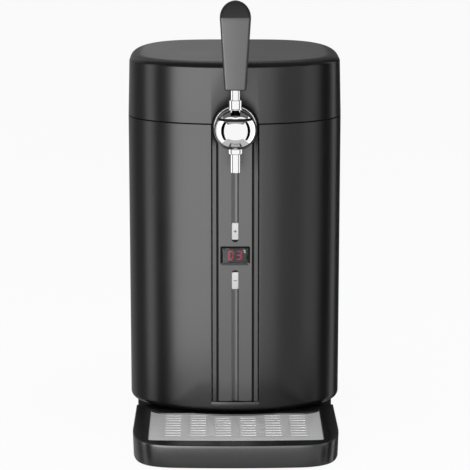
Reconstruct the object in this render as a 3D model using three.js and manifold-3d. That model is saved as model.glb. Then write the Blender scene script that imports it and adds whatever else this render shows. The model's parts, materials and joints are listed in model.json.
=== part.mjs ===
// Mini keg beer dispenser: a chilled cabinet for one small keg, with a lever tap and a drip tray.
// Millimetres, +Z up, the front faces -Y. Heights count from the surface that the feet stand on.
// Depths in the plan count from the widest section of the cabinet.
import * as THREE from "three";
import { mergeVertices } from "three/addons/utils/BufferGeometryUtils.js";
import Module from "manifold-3d";

const wasm = await Module();
wasm.setup();

// Clearances, and how far a cutting tool runs past the face it cuts
const fit = 0.3;
const slideFit = 0.5;
const overrun = 2;

// Roundness of the turned pieces and outlines
const outlineSteps = 48;
const filletSteps = 3;
const curveSteps = 6;
const largeSides = 40;
const mediumSides = 24;
const smallSides = 12;

// Cabinet: two half super-ellipses that meet at the widest section
const cabinetHalfWidth = 137.5;
const cabinetFront = 103;
const cabinetRear = 205;
const frontRoundShare = 0.952;
const rearRoundShare = 0.541;
const cabinetFloor = 31.8;
const seamHeight = 404.5;
const seamGap = 0.8;
const lidTop = 483;
const shellWall = 3.2;
const shellLean = 1.3;
const lidLean = 1.5;
const edgeFillet = 8;
const edgeBreak = 0.6;
const footChamfer = 4;
const floorFlange = 14;

// Front channel
const channelHalfWidth = 30;
const channelFloorHalfWidth = 22.4;
const channelDepth = 4.5;
const panelThickness = 3.6;
const panelGap = 0.5;
const panelBottom = 46;
const grooveHalfWidth = 4.45;
const grooveDepth = 2.2;
const bossRadius = 3;
const bossInset = 5;

// Buttons and display
const buttonWidth = 8.2;
const buttonHeight = 21.5;
const buttonProud = 0.2;
const buttonTravel = 1.2;
const buttonFlange = 1.8;
const buttonFlangeThickness = 1.2;
const buttonStem = 4;
const windowWidth = 32.4;
const windowHeight = 19;
const windowCentre = 235.9;
const windowBevel = 2.8;
const windowBevelDepth = 1.4;
const windowToUpperGroove = 5.3;
const windowToLowerGroove = 6.2;
const grooveToPlus = 3.35;
const grooveToMinus = 2.95;
const lensThickness = 1.6;
const lensSetback = 1.7;
const moduleMargin = 1.2;
const boardThickness = 1.6;
const boardWidth = 44;
const boardHeight = 112;
const boardSetback = 4.6;
const chipSize = 12;
const chipHeight = 0.9;
const chipDrop = 36;

// Deck, its lip and the bulkhead that carries the tap
const deckRecess = 16.5;
const deckThickness = 4;
const lipRise = 3.5;
const lipThickness = 2;
const archRadius = 30;
const bulkheadGap = 0.6;
const bulkheadSetback = 4;
const bulkheadThickness = 9;
const bulkheadNeckHalfWidth = 24;
const bulkheadNeckThickness = 4;

// Keg room, cooling chamber and its jacket
const kegRadius = 85.5;
const kegHeight = 250;
const kegRoom = 4.5;
const kegFloor = 92;
const chamberCentre = 14;
const chamberWall = 1.5;
const chamberRimWidth = 7;
const gasketThickness = 1.9;
const jacketWall = 12;
const probeRadius = 3;
const probeLength = 25;
const probeHeight = 130;

// Thermoelectric cooler
const coolerHeight = 235;
const coldPlateWidth = 60;
const coldPlateGrip = 20;
const moduleWidth = 40;
const moduleThickness = 4;
const sinkWidth = 100;
const sinkHeight = 120;
const sinkBase = 5;
const finLength = 30;
const finThickness = 1.6;
const finCount = 13;
const fanSize = 92;
const fanDepth = 25;
const fanWall = 2.5;
const fanHubRadius = 16;
const fanHubPlate = 2.6;
const fanStrutWidth = 4;
const fanStrutCount = 4;
const bladeCount = 7;
const bladeThickness = 1.6;
const bladeWidth = 22;
const bladeGap = 1.6;
const bladePitchDegrees = 52;

// Plinth, feet and power supply
const plinthInset = 10;
const plinthBottom = 3;
const plinthWall = 3;
const plinthRoof = 3.2;
const footRadius = 9;
const footBossWall = 2;
const footFromSide = 45.5;
const frontFoot = 30;
const rearFoot = 150;
const railAcross = 60;
const railHalfWidth = 6;
const railBottom = 2.2;
const railTop = 5.4;
const railReach = 102;
const supplyWidth = 144;
const supplyDepth = 90;
const supplyHeight = 38;
const supplyCentre = 60;
const supplyChamfer = 3;

// Rear cover
const coverHalfWidth = 78;
const coverBottom = 105;
const coverTop = 335;
const coverRim = 8;
const coverRebate = 1.7;
const rearCutDepth = 24;
const ventWidth = 3;
const ventHeight = 62;
const ventPitch = 10;
const ventCount = 13;
const intakeHeight = 150;
const screwRadius = 1.4;
const screwHeadRadius = 2.7;
const screwHeadThickness = 1.6;
const screwLength = 9;

// Mains inlet and switch
const inletAcross = 45;
const inletHeight = 70;
const inletHalfWidth = 13.5;
const inletHalfHeight = 9.8;
const inletDepth = 24;
const inletWall = 2.2;
const flangeLap = 2.2;
const flangeProud = 1.8;
const mouthDepth = 17;
const pinHalfWidth = 1;
const pinHalfHeight = 2;
const pinLength = 11;
const pinSpacing = 7;
const pinDrop = 2.2;
const switchHalfWidth = 9.5;
const switchHalfHeight = 8.4;
const switchDepth = 16;
const switchWall = 1.7;
const rockerDepth = 12;
const rockerFace = 6.2;
const rockerDip = 1.3;
const rockerHeel = 3.4;
const rockerPinRadius = 1;
const rockerTravelDegrees = 16;

// Tap
const tapHeight = 401.7;
const tapReach = 130;
const ballRadius = 26.8;
const ballFlat = 23.3;
const bonnetRise = 14.8;
const bonnetGap = 0.8;
const spigotRadius = 17;
const spigotWall = 2.4;
const spigotDepth = 3.4;
const flangeRadius = 27;
const flangeThickness = 4.7;
const tapSealThickness = 1.7;
const tapSealRadius = 25;
const shankRadius = 7;
const shankBore = 2.4;
const shankSocket = 8.5;
const shankTail = 12;
const nutRadius = 11;
const nutThickness = 6;
const nutSides = 6;
const spoutRadius = 6.4;
const spoutBore = 2.4;
const spoutLength = 30;
const spoutCollarRadius = 9.2;
const spoutCollarHeight = 6.9;
const spoutCollarSlope = 1.6;
const spoutStubRadius = 6;
const spoutStubHeight = 5.6;
const valveRadius = 4;
const valveLength = 5;

// Lever
const leverTravelDegrees = 30;
const hubRadius = 7;
const hubHalfWidth = 5.6;
const hubRoom = 1;
const pivotRadius = 1.6;
const pivotHalfLength = 15;
const stemRadius = 4.5;
const stemRoom = 0.7;
const collarBottomRadius = 9.5;
const collarRadius = 8;
const collarFlare = 3.6;
const collarBottom = 23.9;
const collarTop = 37.7;
const rodRadius = 5.9;
const gripBottom = 50.1;
const tangRadius = 4;
const tangLength = 18;
const gripHeight = 110.8;
const gripBottomWidth = 27.3;
const gripTopWidth = 38.8;
const gripFrontReach = 8.5;
const gripThickness = 15;
const gripSweep = 9;
const gripBevel = 3.4;
const gripWidestShare = 0.81;
const gripCrownShares = [0.35, 0.6, 0.8, 0.92, 0.985];
const gripFootShare = 0.5;

// Keg coupler and beer tube
const couplerRadius = 24;
const couplerWaist = 14;
const couplerNeck = 7;
const couplerBase = 6;
const couplerShoulder = 3;
const couplerWaistHeight = 11;
const couplerNeckHeight = 12.8;
const couplerLift = 1.5;
const tubeRadius = 4;
const tubeBore = 2.4;
const tubeSides = 8;
const tubeSteps = 16;
const tubeBendShare = 0.45;

// Lid furniture
const linerThickness = 3;
const linerLift = 1;
const ribOuter = 100;
const ribWall = 6;
const sealHeight = 5.4;
const sealInset = 0.5;
const lidFoamRadius = 84;
const lidFoamThickness = 28;
const notchRoom = 1;

// Lid hinges
const hingeAcross = 55;
const hingeHalfWidth = 15;
const hingeSetback = 5.5;
const barrelRadius = 4.5;
const barrelHalfWidth = 6;
const barrelGap = 0.5;
const hingePlate = 2.6;
const hingePlateHeight = 18;
const hingePinRadius = 1.5;
const hingePinProud = 0.5;

// Drip tray
const trayFromSide = 8.5;
const trayTaper = 1;
const trayFront = 261;
const trayFrontRadius = 1100;
const traySideEnd = 170;
const trayRear = 50;
const trayCornerSide = 50;
const trayCornerFront = 50;
const trayCornerShare = 0.58;
const trayBottom = 1;
const trayTop = 30;
const trayFoot = 1.5;
const trayLean = 1;
const trayRim = 1;
const trayFloor = 9.2;
const trayPlinthGap = 3;
const trayRoofGap = 1.3;

// Drip grille
const grilleBorder = 20.4;
const grilleThickness = 2;
const grilleDrop = 1.5;
const grilleLedge = 4;
const grilleRear = 97.5;
const grilleSideRear = 80;
const grilleShoulderInset = 4.6;
const grilleShoulderDepth = 93;
const grilleShoulderRun = 20.6;
const grilleBodyGap = 1.7;
const grilleSideFront = 226;
const grilleCornerInset = 8.6;
const grilleCornerDepth = 232.1;
const grilleFront = 235.2;
const slotLength = 20.4;
const slotWidth = 2.4;
const slotPitchAcross = 31.5;
const slotPitchAlong = 12.4;
const slotFirstRow = 205;
const slotColumns = 6;
const slotRows = 9;

// Sizes that follow from the ones above
const radians = Math.PI / 180;
const fullTurn = 2 * Math.PI;
const lidBottom = seamHeight + seamGap;
const deckTop = seamHeight - deckRecess;
const deckBottom = deckTop - deckThickness;
const lipTop = seamHeight + lipRise;
const innerInset = shellWall + fit;
const lipInset = shellWall + slideFit;
const panelBack = -cabinetFront + channelDepth + panelThickness;
const panelFloor = -cabinetFront + channelDepth;
const upperGrooveEnd = windowCentre + windowHeight / 2 + windowBevel + windowToUpperGroove;
const lowerGrooveTop = windowCentre - windowHeight / 2 - windowBevel - windowToLowerGroove;
const plusHeight = upperGrooveEnd + grooveToPlus + buttonHeight / 2;
const minusHeight = lowerGrooveTop - grooveToMinus - buttonHeight / 2;
const boardFront = panelBack + boardSetback;
const boardBack = boardFront + boardThickness;
const chamberRadius = kegRadius + kegRoom;
const chamberOuter = chamberRadius + chamberWall;
const chamberRim = deckBottom - fit - gasketThickness - fit;
const jacketInner = chamberOuter + fit;
const jacketOuter = jacketInner + jacketWall;
const jacketFloor = kegFloor - chamberWall - fit;
const jacketFront = boardBack + shellLean + slideFit;
const coldFace = chamberCentre + jacketOuter;
const moduleFront = coldFace + fit;
const sinkFront = moduleFront + moduleThickness + fit;
const fanFront = sinkFront + sinkBase + finLength + fit;
const fanBore = fanSize / 2 - fanWall;
const footAcross = cabinetHalfWidth - footFromSide;
const plinthFront = -trayRear + trayPlinthGap;
const plateBottom = trayTop + trayRoofGap;
const plateTop = cabinetFloor + shellWall;
const plateInset = edgeFillet + floorFlange + fit;
const bulkheadFace = -cabinetFront + bulkheadSetback;
const flangeBack = bulkheadFace - fit - tapSealThickness - fit;
const flangeFront = flangeBack - flangeThickness;
const shankFront = -tapReach + ballRadius - shankSocket;
const nutFront = bulkheadFace + bulkheadThickness + fit;
const shankBack = bulkheadFace + bulkheadThickness + shankTail;
const ballBottom = tapHeight - ballFlat;
const hubRoomRadius = hubRadius + hubRoom;
const slotHalfWidth = hubHalfWidth + fit;
const couplerBottom = kegFloor + kegHeight + couplerLift;
const couplerTop = couplerBottom + couplerBase + couplerShoulder + couplerWaistHeight + couplerNeckHeight;
const linerBottom = lipTop + linerLift;
const hingeAxis = cabinetRear + hingeSetback;
const trayHalfWidth = cabinetHalfWidth - trayFromSide;
const trayRearHalfWidth = trayHalfWidth - trayTaper;
const grilleHalfWidth = trayHalfWidth - grilleBorder;
const grilleTop = trayTop - grilleDrop;
const grilleBottom = grilleTop - grilleThickness;
const overallFront = -trayFront;
const overallRear = hingeAxis + barrelRadius;

// Closed mesh to solid: only positions are kept, flat triangles go, and faces are turned outwards
function solidOf(geometry) {
  const bare = geometry.clone();
  for (const name of Object.keys(bare.attributes)) {
    if (name !== "position") bare.deleteAttribute(name);
  }
  const merged = mergeVertices(bare);
  const places = merged.attributes.position;
  const corners = merged.index.array;
  const kept = [];
  const a = new THREE.Vector3();
  const b = new THREE.Vector3();
  const c = new THREE.Vector3();
  let volume = 0;
  for (let i = 0; i < corners.length; i += 3) {
    const [p, q, r] = [corners[i], corners[i + 1], corners[i + 2]];
    if (p === q || q === r || r === p) continue;
    kept.push(p, q, r);
    a.fromBufferAttribute(places, p);
    b.fromBufferAttribute(places, q);
    c.fromBufferAttribute(places, r);
    volume += a.dot(b.cross(c));
  }
  if (volume < 0) kept.reverse();
  const vertProperties = new Float32Array(places.array);
  const triVerts = new Uint32Array(kept);
  return new wasm.Manifold(new wasm.Mesh({ numProp: 3, vertProperties, triVerts }));
}

function geometryOf(solid) {
  const mesh = solid.getMesh();
  const geometry = new THREE.BufferGeometry();
  geometry.setAttribute("position", new THREE.BufferAttribute(new Float32Array(mesh.vertProperties), 3));
  geometry.setIndex(new THREE.BufferAttribute(new Uint32Array(mesh.triVerts), 1));
  geometry.computeVertexNormals();
  return geometry;
}

function joined(solids) {
  return solids.reduce((sum, solid) => sum.add(solid));
}

function without(solid, cuts) {
  return cuts.reduce((left, cut) => left.subtract(cut), solid);
}

function span(centre, half) {
  return [centre - half, centre + half];
}

// Box between two limits along each axis
function block([x0, x1], [y0, y1], [z0, z1]) {
  const geometry = new THREE.BoxGeometry(x1 - x0, y1 - y0, z1 - z0);
  geometry.translate((x0 + x1) / 2, (y0 + y1) / 2, (z0 + z1) / 2);
  return solidOf(geometry);
}

// Cylinder along x, y or z, with its axis through the two other coordinates
function rod(axis, radius, [from, to], [u, v], sides) {
  const geometry = new THREE.CylinderGeometry(radius, radius, to - from, sides);
  const middle = (from + to) / 2;
  if (axis === "x") {
    geometry.rotateZ(Math.PI / 2);
    geometry.translate(middle, u, v);
  } else if (axis === "y") {
    geometry.translate(u, middle, v);
  } else {
    geometry.rotateX(Math.PI / 2);
    geometry.translate(u, v, middle);
  }
  return solidOf(geometry);
}

// Ring of rectangular section about a vertical axis
function hoop(outer, inner, [bottom, top], centre, sides) {
  const bore = rod("z", inner, [bottom - overrun, top + overrun], centre, sides);
  return rod("z", outer, [bottom, top], centre, sides).subtract(bore);
}

// Turned piece about a vertical axis, from a profile of [radius, height]
function turned(profile, [x, y], sides) {
  const points = profile.map(([radius, height]) => new THREE.Vector2(radius, height));
  const geometry = new THREE.LatheGeometry(points, sides);
  geometry.rotateX(Math.PI / 2);
  geometry.translate(x, y, 0);
  return solidOf(geometry);
}

// Straight extrusion of an outline: along z from [x, y], along x from [y, z], along y from [x, z]
function prism(axis, outline, [from, to]) {
  const shape = new THREE.Shape(outline.map(([u, v]) => new THREE.Vector2(u, v)));
  const geometry = new THREE.ExtrudeGeometry(shape, { depth: to - from, bevelEnabled: false });
  geometry.translate(0, 0, from);
  const x = new THREE.Vector3(1, 0, 0);
  const y = new THREE.Vector3(0, 1, 0);
  const z = new THREE.Vector3(0, 0, 1);
  if (axis === "x") geometry.applyMatrix4(new THREE.Matrix4().makeBasis(y, z, x));
  if (axis === "y") geometry.applyMatrix4(new THREE.Matrix4().makeBasis(x, z, y));
  return solidOf(geometry);
}

// Closed skin over horizontal rings with the same number of points, listed upwards
function loft(rings) {
  const count = rings[0].length;
  const places = rings.flat().flatMap((p) => [p.x, p.y, p.z]);
  const faces = [];
  for (let ring = 0; ring < rings.length - 1; ring += 1) {
    for (let i = 0; i < count; i += 1) {
      const here = ring * count + i;
      const next = ring * count + ((i + 1) % count);
      faces.push(here, next, next + count, here, next + count, here + count);
    }
  }
  const cap = (ring, start, up) => {
    const flat = ring.map((p) => new THREE.Vector2(p.x, p.y));
    for (const [p, q, r] of THREE.ShapeUtils.triangulateShape(flat, [])) {
      const left = THREE.ShapeUtils.area([flat[p], flat[q], flat[r]]) > 0;
      faces.push(start + p, start + (left === up ? q : r), start + (left === up ? r : q));
    }
  };
  cap(rings[0], 0, false);
  cap(rings[rings.length - 1], (rings.length - 1) * count, true);
  const geometry = new THREE.BufferGeometry();
  geometry.setAttribute("position", new THREE.Float32BufferAttribute(places, 3));
  geometry.setIndex(faces);
  return solidOf(geometry);
}

// Loft of one outline at several [height, inset] levels
function stack(outline, levels) {
  return loft(levels.map(([z, inset]) => outline(inset).map((p) => new THREE.Vector3(p.x, p.y, z))));
}

// Plan of the cabinet, drawn in from its outer face by an inset
function cabinetOutline(inset) {
  const points = [];
  for (let i = 0; i < outlineSteps; i += 1) {
    const turn = (i / outlineSteps) * fullTurn;
    const across = Math.cos(turn);
    const along = Math.sin(turn);
    const share = along < 0 ? frontRoundShare : rearRoundShare;
    const depth = (along < 0 ? cabinetFront : cabinetRear) - inset;
    const x = Math.sign(across) * (cabinetHalfWidth - inset) * Math.abs(across) ** share;
    const y = Math.sign(along) * depth * Math.abs(along) ** share;
    points.push(new THREE.Vector2(x, y));
  }
  return points;
}

// Depth of the cabinet's front or rear face at a distance from the middle
function faceAt(x, depth, share, inset) {
  const ratio = Math.abs(x) / (cabinetHalfWidth - inset);
  return (depth - inset) * (1 - ratio ** (2 / share)) ** (share / 2);
}

function frontFaceAt(x, inset = 0) {
  return -faceAt(x, cabinetFront, frontRoundShare, inset);
}

function rearFaceAt(x, inset = 0) {
  return faceAt(x, cabinetRear, rearRoundShare, inset);
}

// The cabinet wall leans in towards the floor
function leanAt(z) {
  return (shellLean * (seamHeight - z)) / (seamHeight - cabinetFloor);
}

// What stands on the front wall leans with it
function leaned(solid) {
  const geometry = geometryOf(solid);
  const places = geometry.attributes.position;
  for (let i = 0; i < places.count; i += 1) {
    places.setY(i, places.getY(i) + leanAt(places.getZ(i)));
  }
  geometry.computeVertexNormals();
  return geometry;
}

// Rounded edge as [height, inset] levels, from the outer face towards a flat top or floor
function roundedEdge(height, inset, direction) {
  const levels = [];
  for (let i = 1; i <= filletSteps; i += 1) {
    const turn = ((i / filletSteps) * Math.PI) / 2;
    const rise = edgeFillet * Math.sin(turn);
    levels.push([height + direction * (rise - edgeFillet), inset + edgeFillet * (1 - Math.cos(turn))]);
  }
  return levels;
}

// Cabinet block with its outer face moved in by an inset, without the lid
function cabinetBlock(inset) {
  return stack(cabinetOutline, [
    ...roundedEdge(cabinetFloor, inset + leanAt(cabinetFloor), -1).reverse(),
    [cabinetFloor + edgeFillet, inset + leanAt(cabinetFloor + edgeFillet)],
    [seamHeight - edgeBreak, inset],
    [seamHeight, inset + edgeBreak],
  ]);
}

function rearOpening(lap, depth) {
  const x = [-coverHalfWidth - lap, coverHalfWidth + lap];
  return block(x, [0, depth], [coverBottom - lap, coverTop + lap]);
}

function screwPlaces() {
  const places = [];
  for (const x of [-1, 1]) {
    places.push([x * (coverHalfWidth + coverRim / 2), coverBottom - coverRim / 2]);
    places.push([x * (coverHalfWidth + coverRim / 2), coverTop + coverRim / 2]);
  }
  return places;
}

// Depth at which a screw's head meets the curved cover
function screwSeat([x, z]) {
  return rearFaceAt(Math.abs(x) - screwHeadRadius, leanAt(z)) + fit;
}

function screwHoles() {
  return screwPlaces().map((place) => {
    const seat = screwSeat(place);
    return rod("y", screwRadius + fit, [seat - screwLength - fit, seat + overrun], place, smallSides);
  });
}

function bodyShell() {
  const inner = stack(cabinetOutline, [
    [plateTop, shellWall + footChamfer + leanAt(plateTop)],
    [plateTop + footChamfer, shellWall + leanAt(plateTop)],
    [seamHeight + overrun, shellWall],
  ]);
  const floorHole = stack(cabinetOutline, [
    [cabinetFloor - overrun, edgeFillet + floorFlange],
    [plateTop + overrun, edgeFillet + floorFlange],
  ]);
  const channel = block(
    [-channelHalfWidth, channelHalfWidth],
    [-cabinetFront - overrun, panelBack],
    [panelBottom - panelGap, seamHeight + overrun],
  );
  const skin = cabinetBlock(-overrun).subtract(cabinetBlock(coverRebate));
  const rebate = skin.intersect(rearOpening(coverRim, cabinetRear + overrun * 2));
  const inlet = block(
    span(-inletAcross, inletHalfWidth + fit),
    [cabinetRear - rearCutDepth, cabinetRear + overrun],
    span(inletHeight, inletHalfHeight + fit),
  );
  const toggle = block(
    span(inletAcross, switchHalfWidth + fit),
    [cabinetRear - rearCutDepth, cabinetRear + overrun],
    span(inletHeight, switchHalfHeight + fit),
  );
  const cuts = [inner, floorHole, channel, rearOpening(0, cabinetRear + overrun), rebate];
  return without(cabinetBlock(0), [...cuts, inlet, toggle, ...screwHoles()]);
}

function vents() {
  const slots = [];
  for (const height of [intakeHeight, coolerHeight]) {
    for (let i = 0; i < ventCount; i += 1) {
      const x = (i - (ventCount - 1) / 2) * ventPitch;
      const depth = [cabinetRear - rearCutDepth, cabinetRear + overrun];
      slots.push(block(span(x, ventWidth / 2), depth, span(height, ventHeight / 2)));
    }
  }
  return slots;
}

function rearCover() {
  const rim = cabinetBlock(0).subtract(cabinetBlock(coverRebate - fit));
  const plug = cabinetBlock(0).subtract(cabinetBlock(shellWall));
  const lap = rim.intersect(rearOpening(coverRim - slideFit, cabinetRear + overrun));
  const panel = plug.intersect(rearOpening(-slideFit, cabinetRear + overrun));
  return without(lap.add(panel), [...vents(), ...screwHoles()]);
}

// Screw that points forwards, with its head seat at the origin
function coverScrew() {
  const shank = rod("y", screwRadius, [-screwLength, overrun / 2], [0, 0], smallSides);
  return shank.add(rod("y", screwHeadRadius, [0, screwHeadThickness], [0, 0], smallSides));
}

function plinth() {
  const half = cabinetHalfWidth * 2;
  const rear = [plinthFront, cabinetRear * 2];
  const outer = stack(cabinetOutline, [[plinthBottom, plinthInset], [cabinetFloor - fit, plinthInset]]);
  const tub = outer.intersect(block([-half, half], rear, [0, cabinetFloor]));
  const innerTop = cabinetFloor - fit - plinthRoof;
  const inside = stack(cabinetOutline, [
    [plinthBottom - overrun, plinthInset + plinthWall],
    [innerTop, plinthInset + plinthWall],
  ]);
  const behindWall = block([-half, half], [plinthFront + plinthWall, cabinetRear * 2], [0, innerTop]);
  const hollow = inside.intersect(behindWall);
  const plate = stack(cabinetOutline, [[plateBottom, plateInset], [plateTop, plateInset]]);
  const bosses = footPlaces().map((place) => {
    return rod("z", footRadius + footBossWall, [plinthBottom, cabinetFloor - fit], place, mediumSides);
  });
  const rails = [-1, 1].map((side) => {
    const x = span(side * railAcross, railHalfWidth);
    return block(x, [plinthFront - railReach, plinthFront + plinthWall], [railBottom, railTop]);
  });
  const frame = tub.subtract(hollow);
  return joined([frame, plate, ...bosses.map((boss) => boss.intersect(tub)), ...rails]);
}

function footPlaces() {
  return [
    [-footAcross, -frontFoot],
    [footAcross, -frontFoot],
    [-footAcross, rearFoot],
    [footAcross, rearFoot],
  ];
}

function foot() {
  return turned(
    [
      [0, 0],
      [footRadius - edgeBreak, 0],
      [footRadius, edgeBreak],
      [footRadius, plinthBottom - fit],
      [0, plinthBottom - fit],
    ],
    [0, 0],
    mediumSides,
  );
}

function powerSupply() {
  const [x, z] = [supplyWidth / 2, supplyHeight];
  const bottom = plateTop + fit;
  const outline = [
    [-x + supplyChamfer, bottom],
    [x - supplyChamfer, bottom],
    [x, bottom + supplyChamfer],
    [x, bottom + z - supplyChamfer],
    [x - supplyChamfer, bottom + z],
    [-x + supplyChamfer, bottom + z],
    [-x, bottom + z - supplyChamfer],
    [-x, bottom + supplyChamfer],
  ];
  return prism("y", outline, span(supplyCentre, supplyDepth / 2));
}

// Front channel, its buttons and its display, drawn upright and leaned afterwards
function channelProfile() {
  const edge = channelHalfWidth - panelGap;
  const wall = frontFaceAt(edge);
  return [
    [-edge, wall],
    [-channelFloorHalfWidth, panelFloor],
    [channelFloorHalfWidth, panelFloor],
    [edge, wall],
    [edge, panelBack],
    [-edge, panelBack],
  ];
}

// Half-round groove along the channel floor, with one rounded end
function groove([from, to], end) {
  const radius = (grooveHalfWidth ** 2 + grooveDepth ** 2) / (2 * grooveDepth);
  const axis = panelFloor + grooveDepth - radius;
  const depth = [panelFloor - overrun, panelBack];
  const middle = end === from ? end + grooveHalfWidth : end - grooveHalfWidth;
  const run = end === from ? [middle, to] : [from, middle];
  const straight = block([-grooveHalfWidth, grooveHalfWidth], depth, run);
  const rounded = rod("y", grooveHalfWidth, depth, [0, middle], smallSides);
  return rod("z", radius, [from, to], [0, axis], mediumSides).intersect(straight.add(rounded));
}

function buttonOpening(height) {
  const x = [-buttonWidth / 2 - fit, buttonWidth / 2 + fit];
  return block(x, [panelFloor - overrun, panelBack + overrun], span(height, buttonHeight / 2 + fit));
}

// Tapered mouth of the display window: a small rectangle set back from a large one
function windowBevelCut() {
  const ring = (grow, depth) => {
    const x = windowWidth / 2 + grow;
    const z = windowHeight / 2 + grow;
    return [[-x, -z], [x, -z], [x, z], [-x, z]].map(([u, v]) => new THREE.Vector3(u, v, depth));
  };
  const slope = windowBevel / windowBevelDepth;
  const rings = [ring(0, -windowBevelDepth), ring(windowBevel + slope * overrun, overrun)];
  const count = rings[0].length;
  const places = rings.flat().flatMap((p) => [p.x, -p.z + panelFloor, p.y + windowCentre]);
  const faces = [0, 1, 2, 0, 2, 3, 4, 6, 5, 4, 7, 6];
  for (let i = 0; i < count; i += 1) {
    const next = (i + 1) % count;
    faces.push(i, next + count, next, i, i + count, next + count);
  }
  const geometry = new THREE.BufferGeometry();
  geometry.setAttribute("position", new THREE.Float32BufferAttribute(places, 3));
  geometry.setIndex(faces);
  return solidOf(geometry);
}

function frontPanel() {
  const strip = prism("z", channelProfile(), [panelBottom, tapHeight]);
  const through = [-cabinetFront - overrun, panelBack + overrun];
  const arch = rod("y", archRadius, through, [0, tapHeight], largeSides);
  const opening = block(span(0, windowWidth / 2), through, span(windowCentre, windowHeight / 2));
  const bosses = [];
  for (const x of [-1, 1]) {
    for (const z of [-1, 1]) {
      const place = [x * (boardWidth / 2 - bossInset), windowCentre + z * (boardHeight / 2 - bossInset)];
      bosses.push(rod("y", bossRadius, [panelBack - fit, boardFront - fit], place, smallSides));
    }
  }
  const cuts = [
    arch,
    groove([upperGrooveEnd, tapHeight], upperGrooveEnd),
    groove([panelBottom - overrun, lowerGrooveTop], lowerGrooveTop),
    buttonOpening(plusHeight),
    buttonOpening(minusHeight),
    opening,
    windowBevelCut(),
  ];
  return without(joined([strip, ...bosses]), cuts);
}

function panelButton(height) {
  const front = panelFloor - buttonProud;
  const seat = panelBack + fit;
  const cap = block([-buttonWidth / 2, buttonWidth / 2], [front, seat], span(height, buttonHeight / 2));
  const flangeHalf = buttonWidth / 2 + buttonFlange;
  const flange = block(
    [-flangeHalf, flangeHalf],
    [seat, seat + buttonFlangeThickness],
    span(height, buttonHeight / 2 + buttonFlange),
  );
  const stemEnd = boardFront - buttonTravel - fit;
  const stem = block([-buttonStem / 2, buttonStem / 2], [seat, stemEnd], span(height, buttonStem / 2));
  return joined([cap, flange, stem]);
}

function displayLens() {
  const front = panelFloor + lensSetback;
  const x = windowWidth / 2 - fit;
  return block([-x, x], [front, front + lensThickness], span(windowCentre, windowHeight / 2 - fit));
}

function displayModule() {
  const front = panelFloor + lensSetback + lensThickness + fit;
  const x = windowWidth / 2 - moduleMargin;
  return block([-x, x], [front, boardFront - fit], span(windowCentre, windowHeight / 2 - moduleMargin));
}

function controlBoard() {
  const x = [-boardWidth / 2, boardWidth / 2];
  const board = block(x, [boardFront, boardBack], span(windowCentre, boardHeight / 2));
  const chipFace = boardFront - chipHeight;
  const chip = block([-chipSize / 2, chipSize / 2], [chipFace, boardFront + boardThickness / 2],
    span(windowCentre - chipDrop - chipSize, chipSize / 2));
  return board.add(chip);
}

// Deck with its lip and the bulkhead, as one moulding
function deckRing() {
  const slot = block([-channelHalfWidth, channelHalfWidth], [-cabinetFront, panelBack + slideFit],
    [deckBottom - overrun, lipTop + overrun]);
  const plate = stack(cabinetOutline, [[deckBottom, innerInset], [deckTop, innerInset]]);
  const mouth = rod("z", chamberRadius + slideFit, [deckBottom - overrun, deckTop + overrun],
    [0, chamberCentre], largeSides);
  const lipOuter = stack(cabinetOutline, [[deckBottom, lipInset], [lipTop, lipInset]]);
  const lipInner = stack(cabinetOutline, [
    [deckBottom - overrun, lipInset + lipThickness],
    [lipTop + overrun, lipInset + lipThickness],
  ]);
  const shelf = without(plate, [mouth]).add(lipOuter.subtract(lipInner)).subtract(slot);
  const disc = rod("y", archRadius - bulkheadGap, [bulkheadFace, bulkheadFace + bulkheadThickness],
    [0, tapHeight], largeSides);
  const neckBack = bulkheadFace + bulkheadThickness;
  const neck = block(
    [-bulkheadNeckHalfWidth, bulkheadNeckHalfWidth],
    [neckBack - bulkheadNeckThickness, neckBack + bulkheadNeckThickness],
    [deckBottom, deckTop + bulkheadNeckThickness],
  );
  const belowDeck = block([-archRadius, archRadius], [-cabinetFront, 0], [0, deckBottom]);
  const frontOfNeck = block([-archRadius, archRadius], [-cabinetFront, panelBack + slideFit], [0, deckTop]);
  const bulkhead = without(disc, [belowDeck, frontOfNeck.intersect(discSkirt())]).add(neck);
  const shankHole = rod("y", shankRadius + fit, [-cabinetFront, 0], [0, tapHeight], smallSides);
  const nutRoom = rod("y", nutRadius + slideFit, [neckBack, 0], [0, tapHeight], mediumSides);
  return without(shelf.add(bulkhead), [shankHole, nutRoom]);
}

// The part of the arch that the front panel fills
function discSkirt() {
  const square = block([-archRadius, archRadius], [-cabinetFront, 0], [0, tapHeight]);
  const arch = rod("y", archRadius, [-cabinetFront, 0], [0, tapHeight], largeSides);
  return square.subtract(arch);
}

function chamberGasket() {
  const bottom = chamberRim + fit;
  const outer = chamberOuter + chamberRimWidth;
  return hoop(outer, chamberOuter, [bottom, bottom + gasketThickness], [0, chamberCentre], largeSides);
}

function coolingChamber() {
  return turned(
    [
      [0, kegFloor - chamberWall],
      [chamberOuter, kegFloor - chamberWall],
      [chamberOuter, chamberRim - chamberWall],
      [chamberOuter + chamberRimWidth, chamberRim - chamberWall],
      [chamberOuter + chamberRimWidth, chamberRim],
      [chamberRadius, chamberRim],
      [chamberRadius, kegFloor],
      [0, kegFloor],
    ],
    [0, chamberCentre],
    largeSides,
  );
}

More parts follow.
